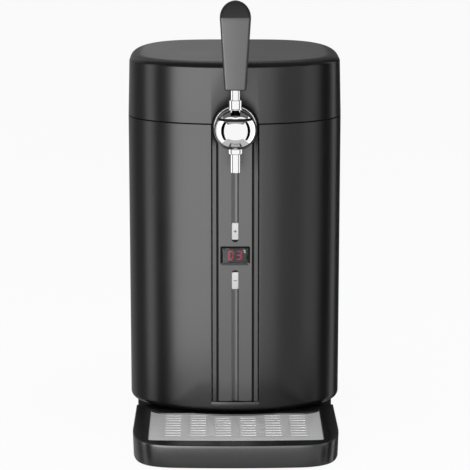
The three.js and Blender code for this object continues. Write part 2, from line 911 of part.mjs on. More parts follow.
function insulationJacket() {
  const top = chamberRim - chamberWall - fit;
  const cup = turned(
    [
      [0, jacketFloor - jacketWall],
      [jacketOuter, jacketFloor - jacketWall],
      [jacketOuter, top],
      [jacketInner, top],
      [jacketInner, jacketFloor],
      [0, jacketFloor],
    ],
    [0, chamberCentre],
    largeSides,
  );
  const boardRoom = block([-jacketOuter, jacketOuter], [-cabinetFront, jacketFront], [0, seamHeight]);
  const plateRoom = coldPlateWidth / 2 + fit;
  const window = block(span(0, plateRoom), [chamberCentre, cabinetRear], span(coolerHeight, plateRoom));
  const probeRoom = rod("z", probeRadius + fit, [probeHeight - fit, probeHeight + probeLength + fit],
    probePlace(), smallSides);
  return without(cup, [boardRoom, window, probeRoom]);
}

function probePlace() {
  return [chamberOuter + fit + probeRadius, chamberCentre];
}

function temperatureProbe() {
  return rod("z", probeRadius, [probeHeight, probeHeight + probeLength], probePlace(), smallSides);
}

function coldPlate() {
  const half = coldPlateWidth / 2;
  const slab = block([-half, half], [coldFace - coldPlateGrip, coldFace], span(coolerHeight, half));
  const chamber = rod("z", jacketInner, [0, seamHeight], [0, chamberCentre], largeSides);
  return slab.subtract(chamber);
}

function peltierModule() {
  const half = moduleWidth / 2;
  return block([-half, half], [moduleFront, moduleFront + moduleThickness], span(coolerHeight, half));
}

function heatSink() {
  const half = sinkWidth / 2;
  const finRoot = sinkFront + sinkBase;
  const pitch = (sinkWidth - finThickness) / (finCount - 1);
  const outline = [[-half, sinkFront], [half, sinkFront]];
  for (let i = finCount - 1; i >= 0; i -= 1) {
    const left = -half + i * pitch;
    outline.push([left + finThickness, finRoot + (i === finCount - 1 ? finLength : 0)]);
    if (i < finCount - 1) outline.push([left + finThickness, finRoot + finLength]);
    outline.push([left, finRoot + finLength]);
    if (i > 0) outline.push([left, finRoot]);
  }
  return prism("z", outline, span(coolerHeight, sinkHeight / 2));
}

function fanFrame() {
  const half = fanSize / 2;
  const depth = [fanFront, fanFront + fanDepth];
  const centre = [0, coolerHeight];
  const box = block([-half, half], depth, span(coolerHeight, half));
  const bore = rod("y", fanBore, [depth[0] - overrun, depth[1] + overrun], centre, largeSides);
  const hubDepth = [depth[1] - fanHubPlate, depth[1]];
  const hub = rod("y", fanHubRadius, hubDepth, centre, mediumSides);
  const struts = [];
  for (let i = 0; i < fanStrutCount / 2; i += 1) {
    const across = i === 0 ? half - fanWall / 2 : fanStrutWidth / 2;
    const up = i === 0 ? fanStrutWidth / 2 : half - fanWall / 2;
    struts.push(block([-across, across], hubDepth, span(coolerHeight, up)));
  }
  return joined([box.subtract(bore), hub, ...struts]);
}

function fanRotor() {
  const depth = [fanFront + bladeGap, fanFront + fanDepth - fanHubPlate - fit];
  const hub = rod("y", fanHubRadius, depth, [0, coolerHeight], mediumSides);
  const reach = fanBore - bladeGap;
  const blades = [];
  for (let i = 0; i < bladeCount; i += 1) {
    const geometry = new THREE.BoxGeometry(bladeThickness, bladeWidth, reach - fanHubRadius + overrun);
    geometry.rotateZ(bladePitchDegrees * radians);
    geometry.translate(0, 0, (reach + fanHubRadius - overrun) / 2);
    geometry.rotateY((i / bladeCount) * fullTurn);
    geometry.translate(0, (depth[0] + depth[1]) / 2, coolerHeight);
    blades.push(solidOf(geometry));
  }
  const swept = rod("y", reach, depth, [0, coolerHeight], largeSides);
  return joined([hub, ...blades]).intersect(swept);
}

// Mains inlet: a shrouded socket with three pins, in a flange that follows the rear wall
function rearFlange(across, halfWidth, halfHeight) {
  const x = span(across, halfWidth + flangeLap);
  const face = cabinetRear + flangeProud;
  const plate = block(x, [cabinetRear - rearCutDepth, face], span(inletHeight, halfHeight + flangeLap));
  return plate.subtract(cabinetBlock(-fit));
}

function mainsInlet() {
  const face = cabinetRear + flangeProud;
  const barrel = block(
    span(-inletAcross, inletHalfWidth),
    [face - inletDepth, face],
    span(inletHeight, inletHalfHeight),
  );
  const mouth = block(
    span(-inletAcross, inletHalfWidth - inletWall),
    [face - mouthDepth, face + overrun],
    span(inletHeight, inletHalfHeight - inletWall),
  );
  const pins = [-1, 0, 1].map((place) => {
    const height = inletHeight + (place === 0 ? pinDrop : -pinDrop);
    const x = span(-inletAcross + place * pinSpacing, pinHalfWidth);
    const root = face - mouthDepth;
    return block(x, [root - overrun, root + pinLength], span(height, pinHalfHeight));
  });
  const body = joined([barrel, rearFlange(-inletAcross, inletHalfWidth, inletHalfHeight)]);
  return joined([body.subtract(mouth), ...pins]);
}

function rockerPivot() {
  return [cabinetRear + flangeProud - rockerFace - rockerDip, inletHeight];
}

function switchHousing() {
  const face = cabinetRear + flangeProud;
  const barrel = block(
    span(inletAcross, switchHalfWidth),
    [face - switchDepth, face],
    span(inletHeight, switchHalfHeight),
  );
  const mouth = block(
    span(inletAcross, switchHalfWidth - switchWall),
    [face - rockerDepth, face + overrun],
    span(inletHeight, switchHalfHeight - switchWall),
  );
  const x = span(inletAcross, switchHalfWidth - fit);
  const pivot = rod("x", rockerPinRadius + fit, x, rockerPivot(), smallSides);
  const body = joined([barrel, rearFlange(inletAcross, switchHalfWidth, switchHalfHeight)]);
  return without(body, [mouth, pivot]);
}

function rocker() {
  const [y, z] = rockerPivot();
  const half = switchHalfHeight - switchWall - slideFit * 2;
  const tilt = (-rockerTravelDegrees / 2) * radians;
  const profile = [
    [-rockerHeel, 0],
    [0, -rockerHeel],
    [rockerFace, -half],
    [rockerFace - rockerDip, 0],
    [rockerFace, half],
    [0, rockerHeel],
  ];
  const outline = profile.map(([u, v]) => [
    y + u * Math.cos(tilt) - v * Math.sin(tilt),
    z + u * Math.sin(tilt) + v * Math.cos(tilt),
  ]);
  const paddle = prism("x", outline, span(inletAcross, switchHalfWidth - switchWall - fit));
  const x = span(inletAcross, switchHalfWidth - slideFit * 2);
  return paddle.add(rod("x", rockerPinRadius, x, [y, z], smallSides));
}

// Tap: ball, bonnet, flange, seal, shank and nut on one axis
function sphere(radius) {
  const geometry = new THREE.SphereGeometry(radius, largeSides, largeSides / 2);
  geometry.rotateX(Math.PI / 2);
  geometry.translate(0, -tapReach, tapHeight);
  return solidOf(geometry);
}

// Room that the lever stem sweeps from upright to fully pulled
function leverSlot() {
  const half = stemRadius + stemRoom;
  const reach = ballRadius + overrun;
  const angle = leverTravelDegrees * radians;
  const [sin, cos] = [Math.sin(angle), Math.cos(angle)];
  const middle = angle / 2;
  const far = reach / Math.cos(middle);
  const outline = [
    [-tapReach + half, tapHeight],
    [-tapReach + half, tapHeight + reach],
    [-tapReach - far * Math.sin(middle), tapHeight + far * Math.cos(middle)],
    [-tapReach - half * cos - reach * sin, tapHeight - half * sin + reach * cos],
    [-tapReach - half * cos, tapHeight - half * sin],
  ];
  return prism("x", outline, [-slotHalfWidth, slotHalfWidth]);
}

// Bore for the lever's pivot pin
function pivotBore(x) {
  return rod("x", pivotRadius + fit, x, [-tapReach, tapHeight], smallSides);
}

function hubRoomCut() {
  return rod("x", hubRoomRadius, [-slotHalfWidth, slotHalfWidth], [-tapReach, tapHeight], mediumSides);
}

function bonnetPlane() {
  return tapHeight + bonnetRise;
}

function tapBall() {
  const plane = bonnetPlane() - bonnetGap / 2;
  const keep = block([-ballRadius, ballRadius], span(-tapReach, ballRadius), [ballBottom, plane]);
  const centre = [0, -tapReach];
  const seatFloor = bonnetPlane() - spigotDepth - fit;
  const seat = rod("z", spigotRadius + fit, [seatFloor, plane + overrun], centre, mediumSides);
  const pivot = pivotBore([-pivotHalfLength - fit, pivotHalfLength + fit]);
  const socket = rod("y", shankRadius + fit, [shankFront - fit, 0], [0, tapHeight], smallSides);
  const passage = rod("y", shankBore, [-tapReach, shankFront + overrun], [0, tapHeight], smallSides);
  const stub = rod("z", spoutStubRadius + fit, [ballBottom - overrun, ballBottom + spoutStubHeight + fit],
    centre, smallSides);
  const valveBore = rod("z", valveRadius + fit, [ballBottom, tapHeight], centre, smallSides);
  const cuts = [seat, pivot, socket, passage, stub, valveBore, leverSlot(), hubRoomCut()];
  return without(sphere(ballRadius).intersect(keep), cuts);
}

function tapBonnet() {
  const plane = bonnetPlane() + bonnetGap / 2;
  const keep = block(span(0, ballRadius), span(-tapReach, ballRadius), [plane, plane + ballRadius]);
  const dome = sphere(ballRadius).intersect(keep);
  const rise = [bonnetPlane() - spigotDepth, plane + spigotWall];
  const spigot = hoop(spigotRadius, spigotRadius - spigotWall, rise, [0, -tapReach], mediumSides);
  return without(dome.add(spigot), [leverSlot(), hubRoomCut()]);
}

function tapFlange() {
  const disc = rod("y", flangeRadius, [flangeFront, flangeBack], [0, tapHeight], largeSides);
  const hole = rod("y", shankRadius + fit, [-tapReach, 0], [0, tapHeight], smallSides);
  return without(disc, [sphere(ballRadius + fit), hole]);
}

function tapSeal() {
  const disc = rod("y", tapSealRadius, [flangeBack + fit, bulkheadFace - fit], [0, tapHeight], mediumSides);
  return disc.subtract(rod("y", shankRadius + fit, [-tapReach, 0], [0, tapHeight], smallSides));
}

function tapShank() {
  const bore = rod("y", shankBore, [shankFront - overrun, 0], [0, tapHeight], smallSides);
  return rod("y", shankRadius, [shankFront, shankBack], [0, tapHeight], smallSides).subtract(bore);
}

function shankNut() {
  const hex = rod("y", nutRadius, [nutFront, nutFront + nutThickness], [0, tapHeight], nutSides);
  return hex.subtract(rod("y", shankRadius + fit, [-tapReach, 0], [0, tapHeight], smallSides));
}

function spout() {
  const collarTopZ = ballBottom - fit;
  const collarBottomZ = collarTopZ - spoutCollarHeight;
  const profile = [
    [spoutBore, collarBottomZ - spoutLength + spoutCollarHeight],
    [spoutRadius, collarBottomZ - spoutLength + spoutCollarHeight],
    [spoutRadius, collarBottomZ],
    [spoutCollarRadius - spoutCollarSlope, collarBottomZ],
    [spoutCollarRadius, collarBottomZ + spoutCollarSlope],
    [spoutCollarRadius, collarTopZ - edgeBreak],
    [spoutCollarRadius - edgeBreak, collarTopZ],
    [spoutStubRadius, collarTopZ],
    [spoutStubRadius, ballBottom + spoutStubHeight],
    [spoutBore, ballBottom + spoutStubHeight],
  ];
  return turned([...profile, profile[0]], [0, -tapReach], mediumSides);
}

function valvePlunger() {
  const bottom = ballBottom + spoutStubHeight + slideFit;
  return rod("z", valveRadius, [bottom, bottom + valveLength], [0, -tapReach], smallSides);
}

function pivotPin() {
  return rod("x", pivotRadius, [-pivotHalfLength, pivotHalfLength], [-tapReach, tapHeight], smallSides);
}

// Lever: hub and stem in one piece, with the grip pushed over its tang
function leverHub() {
  const hub = rod("x", hubRadius, [-hubHalfWidth, hubHalfWidth], [-tapReach, tapHeight], mediumSides);
  const profile = [
    [0, 0],
    [stemRadius, 0],
    [stemRadius, collarBottom],
    [collarBottomRadius, collarBottom],
    [collarBottomRadius - edgeBreak, collarBottom + collarFlare / 2],
    [collarRadius, collarBottom + collarFlare],
    [collarRadius, collarTop - edgeBreak],
    [collarRadius - edgeBreak, collarTop],
    [rodRadius, collarTop],
    [rodRadius, gripBottom - fit],
    [tangRadius, gripBottom - fit],
    [tangRadius, gripBottom + tangLength],
    [0, gripBottom + tangLength],
  ];
  const stem = turned(profile.map(([r, z]) => [r, z + tapHeight]), [0, -tapReach], mediumSides);
  const core = rod("z", stemRadius, [0, lidTop], [0, -tapReach], mediumSides);
  const shell = sphere(ballRadius + fit).subtract(core);
  return without(stem.subtract(shell).add(hub), [pivotBore(span(0, ballRadius))]);
}

// One section of the grip: flat front face, bevelled sides, rounded back
function gripRing(height, width, front, back) {
  const bevel = Math.min(gripBevel, width / 4, (back - front) / 4);
  const x = width / 2;
  const points = [
    [-x + bevel, front],
    [x - bevel, front],
    [x, front + bevel],
    [x, back - bevel],
    [x - bevel, back],
    [-x + bevel, back],
    [-x, back - bevel],
    [-x, front + bevel],
  ];
  return points.map(([u, v]) => new THREE.Vector3(u, v - tapReach, height + tapHeight + gripBottom));
}

function leverGrip() {
  const widest = gripHeight * gripWidestShare;
  const foot = gripBottomWidth - gripBevel * gripFootShare;
  const rings = [
    gripRing(0, foot, -gripFrontReach + edgeBreak, gripThickness - gripFrontReach - edgeBreak),
    gripRing(gripBevel * gripFootShare, gripBottomWidth, -gripFrontReach, gripThickness - gripFrontReach),
    gripRing(widest, gripTopWidth, -gripFrontReach, gripThickness - gripFrontReach),
  ];
  for (const share of gripCrownShares) {
    const height = widest + (gripHeight - widest) * share;
    const narrow = Math.sqrt(1 - share ** 2);
    const front = -gripFrontReach + gripSweep * (1 - narrow);
    const back = gripThickness - gripFrontReach + (gripSweep * (1 - narrow)) / 2;
    rings.push(gripRing(height, gripTopWidth * narrow, front, back));
  }
  const base = tapHeight + gripBottom;
  const depth = [base - overrun, base + tangLength + fit];
  return loft(rings).subtract(rod("z", tangRadius + fit, depth, [0, -tapReach], mediumSides));
}

// Keg coupler and the beer tube from it to the shank
function kegCoupler() {
  const profile = [
    [tubeBore, couplerBottom],
    [couplerRadius, couplerBottom],
    [couplerRadius, couplerBottom + couplerBase],
    [couplerWaist, couplerBottom + couplerBase + couplerShoulder],
    [couplerWaist, couplerTop - couplerNeckHeight],
    [couplerNeck, couplerTop - couplerNeckHeight],
    [couplerNeck, couplerTop],
    [tubeBore, couplerTop],
  ];
  return turned([...profile, profile[0]], [0, chamberCentre], mediumSides);
}

function beerTube() {
  const start = new THREE.Vector3(0, chamberCentre, couplerTop + fit);
  const end = new THREE.Vector3(0, shankBack + fit, tapHeight);
  const up = new THREE.Vector3(0, chamberCentre, tapHeight);
  const bend = new THREE.Vector3(0, chamberCentre + (end.y - start.y) * tubeBendShare, tapHeight);
  const route = new THREE.CubicBezierCurve3(start, up, bend, end);
  const tube = (radius) => {
    const section = new THREE.Shape();
    for (let i = 0; i < tubeSides; i += 1) {
      const turn = (i / tubeSides) * fullTurn;
      const [u, v] = [radius * Math.cos(turn), radius * Math.sin(turn)];
      if (i === 0) section.moveTo(u, v);
      else section.lineTo(u, v);
    }
    section.closePath();
    return section;
  };
  const section = tube(tubeRadius);
  section.holes.push(new THREE.Path(tube(tubeBore).getPoints()));
  const settings = { steps: tubeSteps, extrudePath: route, bevelEnabled: false };
  return solidOf(new THREE.ExtrudeGeometry(section, settings));
}

// Lid
function lidBlock(inset) {
  return stack(cabinetOutline, [
    [lidBottom, inset + edgeBreak],
    [lidBottom + edgeBreak, inset],
    [lidTop - edgeFillet, inset + lidLean],
    ...roundedEdge(lidTop, inset + lidLean, 1),
  ]);
}

function lidShell() {
  const inner = stack(cabinetOutline, [
    [lidBottom - overrun, shellWall],
    [lidTop - edgeFillet, shellWall + lidLean],
    [lidTop - shellWall, edgeFillet + lidLean],
  ]);
  const depth = [-cabinetFront - overrun, -cabinetFront / 2];
  const arch = rod("y", archRadius, depth, [0, tapHeight], largeSides);
  return without(lidBlock(0), [inner, arch]);
}

function lidNotch() {
  const x = archRadius + notchRoom;
  return block([-x, x], [-cabinetFront * 2, shankBack - notchRoom], [0, lidTop]);
}

function lidLiner() {
  const plate = stack(cabinetOutline, [
    [linerBottom, shellWall + slideFit],
    [linerBottom + linerThickness, shellWall + slideFit],
  ]);
  const rise = [deckTop + fit + sealHeight + fit, linerBottom + linerThickness];
  const rib = hoop(ribOuter, ribOuter - ribWall, rise, [0, chamberCentre], largeSides);
  return plate.add(rib).subtract(lidNotch());
}

function lidSeal() {
  const rise = [deckTop + fit, deckTop + fit + sealHeight];
  const inner = ribOuter - ribWall + sealInset;
  return hoop(ribOuter - sealInset, inner, rise, [0, chamberCentre], largeSides).subtract(lidNotch());
}

function lidInsulation() {
  const bottom = linerBottom + linerThickness + fit;
  return rod("z", lidFoamRadius, [bottom, bottom + lidFoamThickness], [0, chamberCentre], largeSides);
}

// Hinges on the outside of the rear wall: a clevis on the cabinet, a single barrel on the lid
function hingeHole(side) {
  const x = span(side * hingeAcross, hingeHalfWidth + overrun);
  return rod("x", hingePinRadius + fit, x, [hingeAxis, seamHeight], smallSides);
}

function hingeBracket(side) {
  const middle = side * hingeAcross;
  const plateFace = hingeAxis - barrelRadius + hingePlate;
  const plateTopZ = seamHeight - barrelRadius - slideFit;
  const plate = block(span(middle, hingeHalfWidth), [cabinetRear - rearCutDepth, plateFace],
    [plateTopZ - hingePlateHeight, plateTopZ]);
  const ears = [-1, 1].map((end) => {
    const inner = middle + end * (barrelHalfWidth + barrelGap);
    const outer = middle + end * hingeHalfWidth;
    const x = [Math.min(inner, outer), Math.max(inner, outer)];
    const web = block(x, [cabinetRear - rearCutDepth, hingeAxis], [plateTopZ - barrelRadius, seamHeight]);
    return rod("x", barrelRadius, x, [hingeAxis, seamHeight], smallSides).add(web);
  });
  return without(joined([plate, ...ears]), [rearWall(-fit, seamHeight + overrun), hingeHole(side)]);
}

// Straight rear wall of the cabinet, for what is shaped to it
function rearWall(inset, top) {
  return stack(cabinetOutline, [[0, inset], [top, inset]]);
}

function hingeLeaf(side) {
  const middle = side * hingeAcross;
  const plateFace = hingeAxis - barrelRadius + hingePlate;
  const plateBottomZ = seamHeight + barrelRadius + slideFit;
  const plate = block(span(middle, hingeHalfWidth), [cabinetRear - rearCutDepth, plateFace],
    [plateBottomZ, plateBottomZ + hingePlateHeight]);
  const web = block(span(middle, barrelHalfWidth), [cabinetRear - rearCutDepth, hingeAxis],
    [lidBottom, plateBottomZ + barrelRadius]);
  const barrel = rod("x", barrelRadius, span(middle, barrelHalfWidth), [hingeAxis, seamHeight], smallSides);
  return without(joined([plate, web, barrel]), [rearWall(-fit, lidTop), hingeHole(side)]);
}

function hingePin() {
  const x = hingeHalfWidth + hingePinProud;
  return rod("x", hingePinRadius, [-x, x], [0, 0], smallSides);
}

// Drip tray plan: straight rear, nearly straight sides, curved corners and a bowed front
function trayOutline(inset) {
  const half = trayHalfWidth - inset;
  const radius = trayFrontRadius - inset;
  const centre = -trayFront + trayFrontRadius;
  const cornerX = half * trayCornerShare;
  const drop = Math.sqrt(radius ** 2 - cornerX ** 2);
  const slope = cornerX / drop;
  const start = Math.PI + Math.acos(cornerX / radius);
  const shape = new THREE.Shape();
  shape.moveTo(trayRearHalfWidth - inset, -trayRear - inset);
  shape.lineTo(-trayRearHalfWidth + inset, -trayRear - inset);
  shape.lineTo(-half, -traySideEnd);
  shape.bezierCurveTo(-half, -traySideEnd - trayCornerSide, -cornerX - trayCornerFront,
    centre - drop + slope * trayCornerFront, -cornerX, centre - drop);
  shape.absarc(0, centre, radius, start, fullTurn + Math.PI - start, false);
  shape.bezierCurveTo(cornerX + trayCornerFront, centre - drop + slope * trayCornerFront, half,
    -traySideEnd - trayCornerSide, half, -traySideEnd);
  return openPoints(shape);
}

// Points of a closed shape without doubles
function openPoints(shape) {
  const points = [];
  for (const point of shape.getPoints(curveSteps)) {
    const last = points[points.length - 1];
    if (!last || last.distanceTo(point) > fit) points.push(point);
  }
  if (points[0].distanceTo(points[points.length - 1]) <= fit) points.pop();
  return points;
}

// Rear corner of the grille, from its tip to the straight rear edge, moved outwards by a distance
function grilleShoulder(grow) {
  const tip = new THREE.Vector2(grilleHalfWidth, -grilleSideRear);
  const bend = new THREE.Vector2(grilleHalfWidth - grilleShoulderInset, -grilleShoulderDepth);
  const end = new THREE.Vector2(grilleHalfWidth - grilleShoulderRun, -grilleRear);
  const curve = new THREE.QuadraticBezierCurve(tip, bend, end);
  const points = [new THREE.Vector2(grilleHalfWidth + grow, -grilleSideRear + grow)];
  for (let i = 0; i <= curveSteps; i += 1) {
    const along = curve.getTangent(i / curveSteps);
    const outwards = new THREE.Vector2(along.y, -along.x).multiplyScalar(grow);
    points.push(curve.getPoint(i / curveSteps).add(outwards));
  }
  return points;
}

function grilleOutline(grow) {
  const gap = grilleBodyGap - grow;
  const notch = notchHalfWidth(grilleRear - grow, gap);
  const right = grilleShoulder(grow);
  const left = right.map((point) => new THREE.Vector2(-point.x, point.y)).reverse();
  const shape = new THREE.Shape();
  shape.moveTo(right[0].x, right[0].y);
  for (const point of right) shape.lineTo(point.x, point.y);
  for (let i = 0; i <= curveSteps; i += 1) {
    const x = notch * (1 - (2 * i) / curveSteps);
    shape.lineTo(x, frontFaceAt(x, -gap));
  }
  for (const point of left) shape.lineTo(point.x, point.y);
  bowedFront(shape, grow);
  return openPoints(shape);
}

// Sides, rounded corners and bowed front edge of the grille
function bowedFront(shape, grow) {
  const half = grilleHalfWidth + grow;
  const cornerX = grilleHalfWidth - grilleCornerInset;
  const cornerY = -grilleCornerDepth - grow;
  const bow = -2 * grilleFront + grilleCornerDepth - grow;
  shape.lineTo(-half, -grilleSideFront);
  shape.quadraticCurveTo(-half, cornerY, -cornerX, cornerY);
  shape.quadraticCurveTo(0, bow, cornerX, cornerY);
  shape.quadraticCurveTo(half, cornerY, half, -grilleSideFront);
}

// The basin follows the grille's front and sides, and ends ahead of its straight rear edge
function basinOutline() {
  const half = grilleHalfWidth - grilleLedge;
  const shape = new THREE.Shape();
  shape.moveTo(half, -grilleRear - grilleLedge);
  shape.lineTo(-half, -grilleRear - grilleLedge);
  bowedFront(shape, -grilleLedge);
  return openPoints(shape);
}

// Where a face that clears the cabinet by a gap crosses a straight line at a depth
function notchHalfWidth(depth, gap) {
  const ratio = depth / (cabinetFront + gap);
  return (cabinetHalfWidth + gap) * (1 - ratio ** (2 / frontRoundShare)) ** (frontRoundShare / 2);
}

function dripTray() {
  const outer = stack(trayOutline, [
    [trayBottom, trayFoot + trayLean],
    [trayBottom + trayFoot, trayLean],
    [trayTop - trayRim, 0],
    [trayTop, trayRim],
  ]);
  const pocket = stack(grilleOutline, [[grilleBottom - fit, slideFit], [trayTop + overrun, slideFit]]);
  const basin = stack(basinOutline, [[trayFloor, 0], [grilleBottom, 0]]);
  const channels = [-1, 1].map((side) => {
    const x = span(side * railAcross, railHalfWidth + slideFit);
    return block(x, [plinthFront - railReach - slideFit, 0], [0, railTop + fit]);
  });
  return without(outer, [pocket, basin, ...channels]);
}

function dripGrille() {
  const plate = stack(grilleOutline, [[grilleBottom, 0], [grilleTop, 0]]);
  const slots = [];
  for (let column = 0; column < slotColumns; column += 1) {
    const x = (column - (slotColumns - 1) / 2) * slotPitchAcross;
    const middle = Math.abs(x) < slotPitchAcross;
    for (let row = 0; row < slotRows - (middle ? 1 : 0); row += 1) {
      const y = -slotFirstRow + row * slotPitchAlong;
      const depth = [grilleBottom - overrun, grilleTop + overrun];
      slots.push(block(span(x, slotLength / 2), span(y, slotWidth / 2), depth));
    }
  }
  return without(plate, slots);
}

// Finishes
function finish(color, roughness, metalness) {
  return new THREE.MeshStandardMaterial({ color, roughness, metalness });
}

const satinBlack = finish(0x2b2b2d, 0.38, 0);
const mattBlack = finish(0x161617, 0.7, 0);
const chrome = finish(0xe6e6e8, 0.06, 1);
const stainless = finish(0xc4c4c4, 0.32, 1);
const plainSteel = finish(0x9a9a9c, 0.4, 1);
const aluminium = finish(0xb9bcc0, 0.45, 1);
const paleButton = finish(0xe9e9e7, 0.45, 0);
const darkLens = finish(0x0c0405, 0.08, 0);
const rubber = finish(0x101010, 0.85, 0);
const whiteFoam = finish(0xe8e6df, 0.9, 0);
const greenBoard = finish(0x1d5a37, 0.55, 0);
const ceramic = finish(0xf0efe9, 0.6, 0);
const clearTube = finish(0xd9dde0, 0.25, 0);

// A named mesh whose own origin is the given place
function piece(name, shape, material, origin = [0, 0, 0]) {
  const geometry = shape.isBufferGeometry ? shape : geometryOf(shape);
  geometry.translate(-origin[0], -origin[1], -origin[2]);
  const mesh = new THREE.Mesh(geometry, material);
  mesh.name = name;
  mesh.position.set(...origin);
  return mesh;
}

// The same, for a shape that is already drawn about its own origin
function copyAt(name, shape, material, place) {
  const mesh = piece(name, shape, material);
  mesh.position.set(...place);
  return mesh;
}

function housingGroup() {
  const group = new THREE.Group();
  group.add(
    piece("body_shell", bodyShell(), satinBlack),
    piece("rear_cover", rearCover(), mattBlack),
    piece("base_plinth", plinth(), mattBlack),
    piece("front_panel", leaned(frontPanel()), satinBlack),
    piece("deck_ring", deckRing(), mattBlack),
    piece("power_supply", powerSupply(), plainSteel),
    piece("mains_inlet", mainsInlet(), mattBlack),
    piece("switch_housing", switchHousing(), mattBlack),
  );
  const feet = ["foot_front_left", "foot_front_right", "foot_rear_left", "foot_rear_right"];
  footPlaces().forEach(([x, y], i) => group.add(copyAt(feet[i], foot(), rubber, [x, y, 0])));
  const screws = ["cover_screw_lower_left", "cover_screw_upper_left", "cover_screw_lower_right",
    "cover_screw_upper_right"];
  screwPlaces().forEach(([x, z], i) => {
    group.add(copyAt(screws[i], coverScrew(), plainSteel, [x, screwSeat([x, z]), z]));
  });
  return group;
}

function controlsGroup() {
  const group = new THREE.Group();
  group.add(
    piece("display_lens", leaned(displayLens()), darkLens),
    piece("display_module", leaned(displayModule()), mattBlack),
    piece("control_board", leaned(controlBoard()), greenBoard),
    piece("plus_button", leaned(panelButton(plusHeight)), paleButton),
    piece("minus_button", leaned(panelButton(minusHeight)), paleButton),
    piece("switch_rocker", rocker(), mattBlack, [inletAcross, ...rockerPivot()]),
  );
  return group;
}

function coolingGroup() {
  const group = new THREE.Group();
  const axis = [0, chamberCentre, 0];
  group.add(
    piece("cooling_chamber", coolingChamber(), aluminium, axis),
    piece("chamber_gasket", chamberGasket(), rubber, axis),
    piece("insulation_jacket", insulationJacket(), whiteFoam, axis),
    piece("temperature_probe", temperatureProbe(), plainSteel),
    piece("cold_plate", coldPlate(), aluminium),
    piece("peltier_module", peltierModule(), ceramic),
    piece("heat_sink", heatSink(), aluminium),
    piece("fan_frame", fanFrame(), mattBlack),
    piece("fan_rotor", fanRotor(), mattBlack, [0, fanFront, coolerHeight]),
  );
  return group;
}

function tapGroup() {
  const group = new THREE.Group();
  group.add(
    piece("tap_ball", tapBall(), chrome),
    piece("tap_bonnet", tapBonnet(), chrome),
    piece("tap_flange", tapFlange(), chrome),
    piece("tap_seal", tapSeal(), rubber),
    piece("tap_shank", tapShank(), stainless),
    piece("shank_nut", shankNut(), plainSteel),
    piece("spout", spout(), chrome),
    piece("lever_pivot_pin", pivotPin(), plainSteel),
    piece("valve_plunger", valvePlunger(), paleButton),
    piece("keg_coupler", kegCoupler(), mattBlack),
    piece("beer_tube", beerTube(), clearTube),
  );
  return group;
}

function leverGroup() {
  const group = new THREE.Group();
  const pivot = [0, -tapReach, tapHeight];
  group.add(
    piece("lever_hub", leverHub(), chrome, pivot),
    piece("lever_grip", leverGrip(), satinBlack, pivot),
  );
  return group;
}

function lidGroup() {
  const group = new THREE.Group();
  const axis = [0, hingeAxis, seamHeight];
  group.add(
    piece("lid_shell", lidShell(), satinBlack, axis),
    piece("lid_liner", lidLiner(), mattBlack, axis),
    piece("lid_seal", lidSeal(), rubber, axis),
    piece("lid_insulation", lidInsulation(), whiteFoam, axis),
  );
  for (const [name, side] of [["left", -1], ["right", 1]]) {
    const place = [side * hingeAcross, hingeAxis, seamHeight];
    group.add(
      piece(`hinge_bracket_${name}`, hingeBracket(side), mattBlack, place),
      piece(`hinge_leaf_${name}`, hingeLeaf(side), mattBlack, place),
      copyAt(`hinge_pin_${name}`, hingePin(), plainSteel, place),
    );
  }
  return group;
}

function trayGroup() {
  const group = new THREE.Group();
  group.add(piece("drip_tray", dripTray(), satinBlack), piece("drip_grille", dripGrille(), stainless));
  return group;
}

const dispenser = new THREE.Group();
dispenser.name = "mini_keg_beer_dispenser";
dispenser.add(
  housingGroup(),
  controlsGroup(),
  coolingGroup(),
  tapGroup(),
  leverGroup(),
  lidGroup(),
  trayGroup(),
);
// The origin is on the standing surface, below the middle of the whole depth
dispenser.position.y = -(overallFront + overallRear) / 2;

export default dispenser;
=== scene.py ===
# %% [markdown]
# # Dressing a mini keg beer dispenser
# The construction of this machine comes as a fixed frame: every sub-part at its real size and place. This
# lesson gives it its looks. We rebuild the surfaces that show as fine meshes of the same size, make a
# material for each finish, and light it softly against white. Lengths below are in millimetres, as a workshop
# drawing gives them, and one factor turns them into Blender's metres when a mesh is made.

# %% Load the frame
import json
import math

import bmesh
import bpy
import numpy as np
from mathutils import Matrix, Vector

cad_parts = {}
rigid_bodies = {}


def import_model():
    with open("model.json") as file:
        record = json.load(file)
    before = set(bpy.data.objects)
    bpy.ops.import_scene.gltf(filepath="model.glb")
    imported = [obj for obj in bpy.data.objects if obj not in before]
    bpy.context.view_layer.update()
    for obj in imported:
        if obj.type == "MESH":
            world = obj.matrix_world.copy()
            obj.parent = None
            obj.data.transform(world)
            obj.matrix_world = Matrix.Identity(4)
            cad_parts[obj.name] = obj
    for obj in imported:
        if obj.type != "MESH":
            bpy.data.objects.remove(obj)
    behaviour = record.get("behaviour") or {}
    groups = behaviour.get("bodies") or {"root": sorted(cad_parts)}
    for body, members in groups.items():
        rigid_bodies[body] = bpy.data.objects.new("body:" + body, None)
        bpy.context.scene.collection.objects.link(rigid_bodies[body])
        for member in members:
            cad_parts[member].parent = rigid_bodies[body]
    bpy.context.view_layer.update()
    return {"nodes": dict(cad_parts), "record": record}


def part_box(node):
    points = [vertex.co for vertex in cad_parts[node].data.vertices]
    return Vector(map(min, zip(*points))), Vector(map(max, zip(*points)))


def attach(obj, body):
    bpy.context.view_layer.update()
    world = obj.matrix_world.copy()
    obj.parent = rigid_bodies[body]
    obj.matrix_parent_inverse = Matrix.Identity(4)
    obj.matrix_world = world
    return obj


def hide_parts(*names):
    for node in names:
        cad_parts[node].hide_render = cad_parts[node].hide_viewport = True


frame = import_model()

# %% [markdown]
# ## The camera
# The picture was taken with a long lens from a little above the lid, so the sides stay nearly parallel. We
# place the camera by its distance, its height and how far it looks down, and give the lens as a field of
# view. It comes first, so that everything that follows can be judged through it.

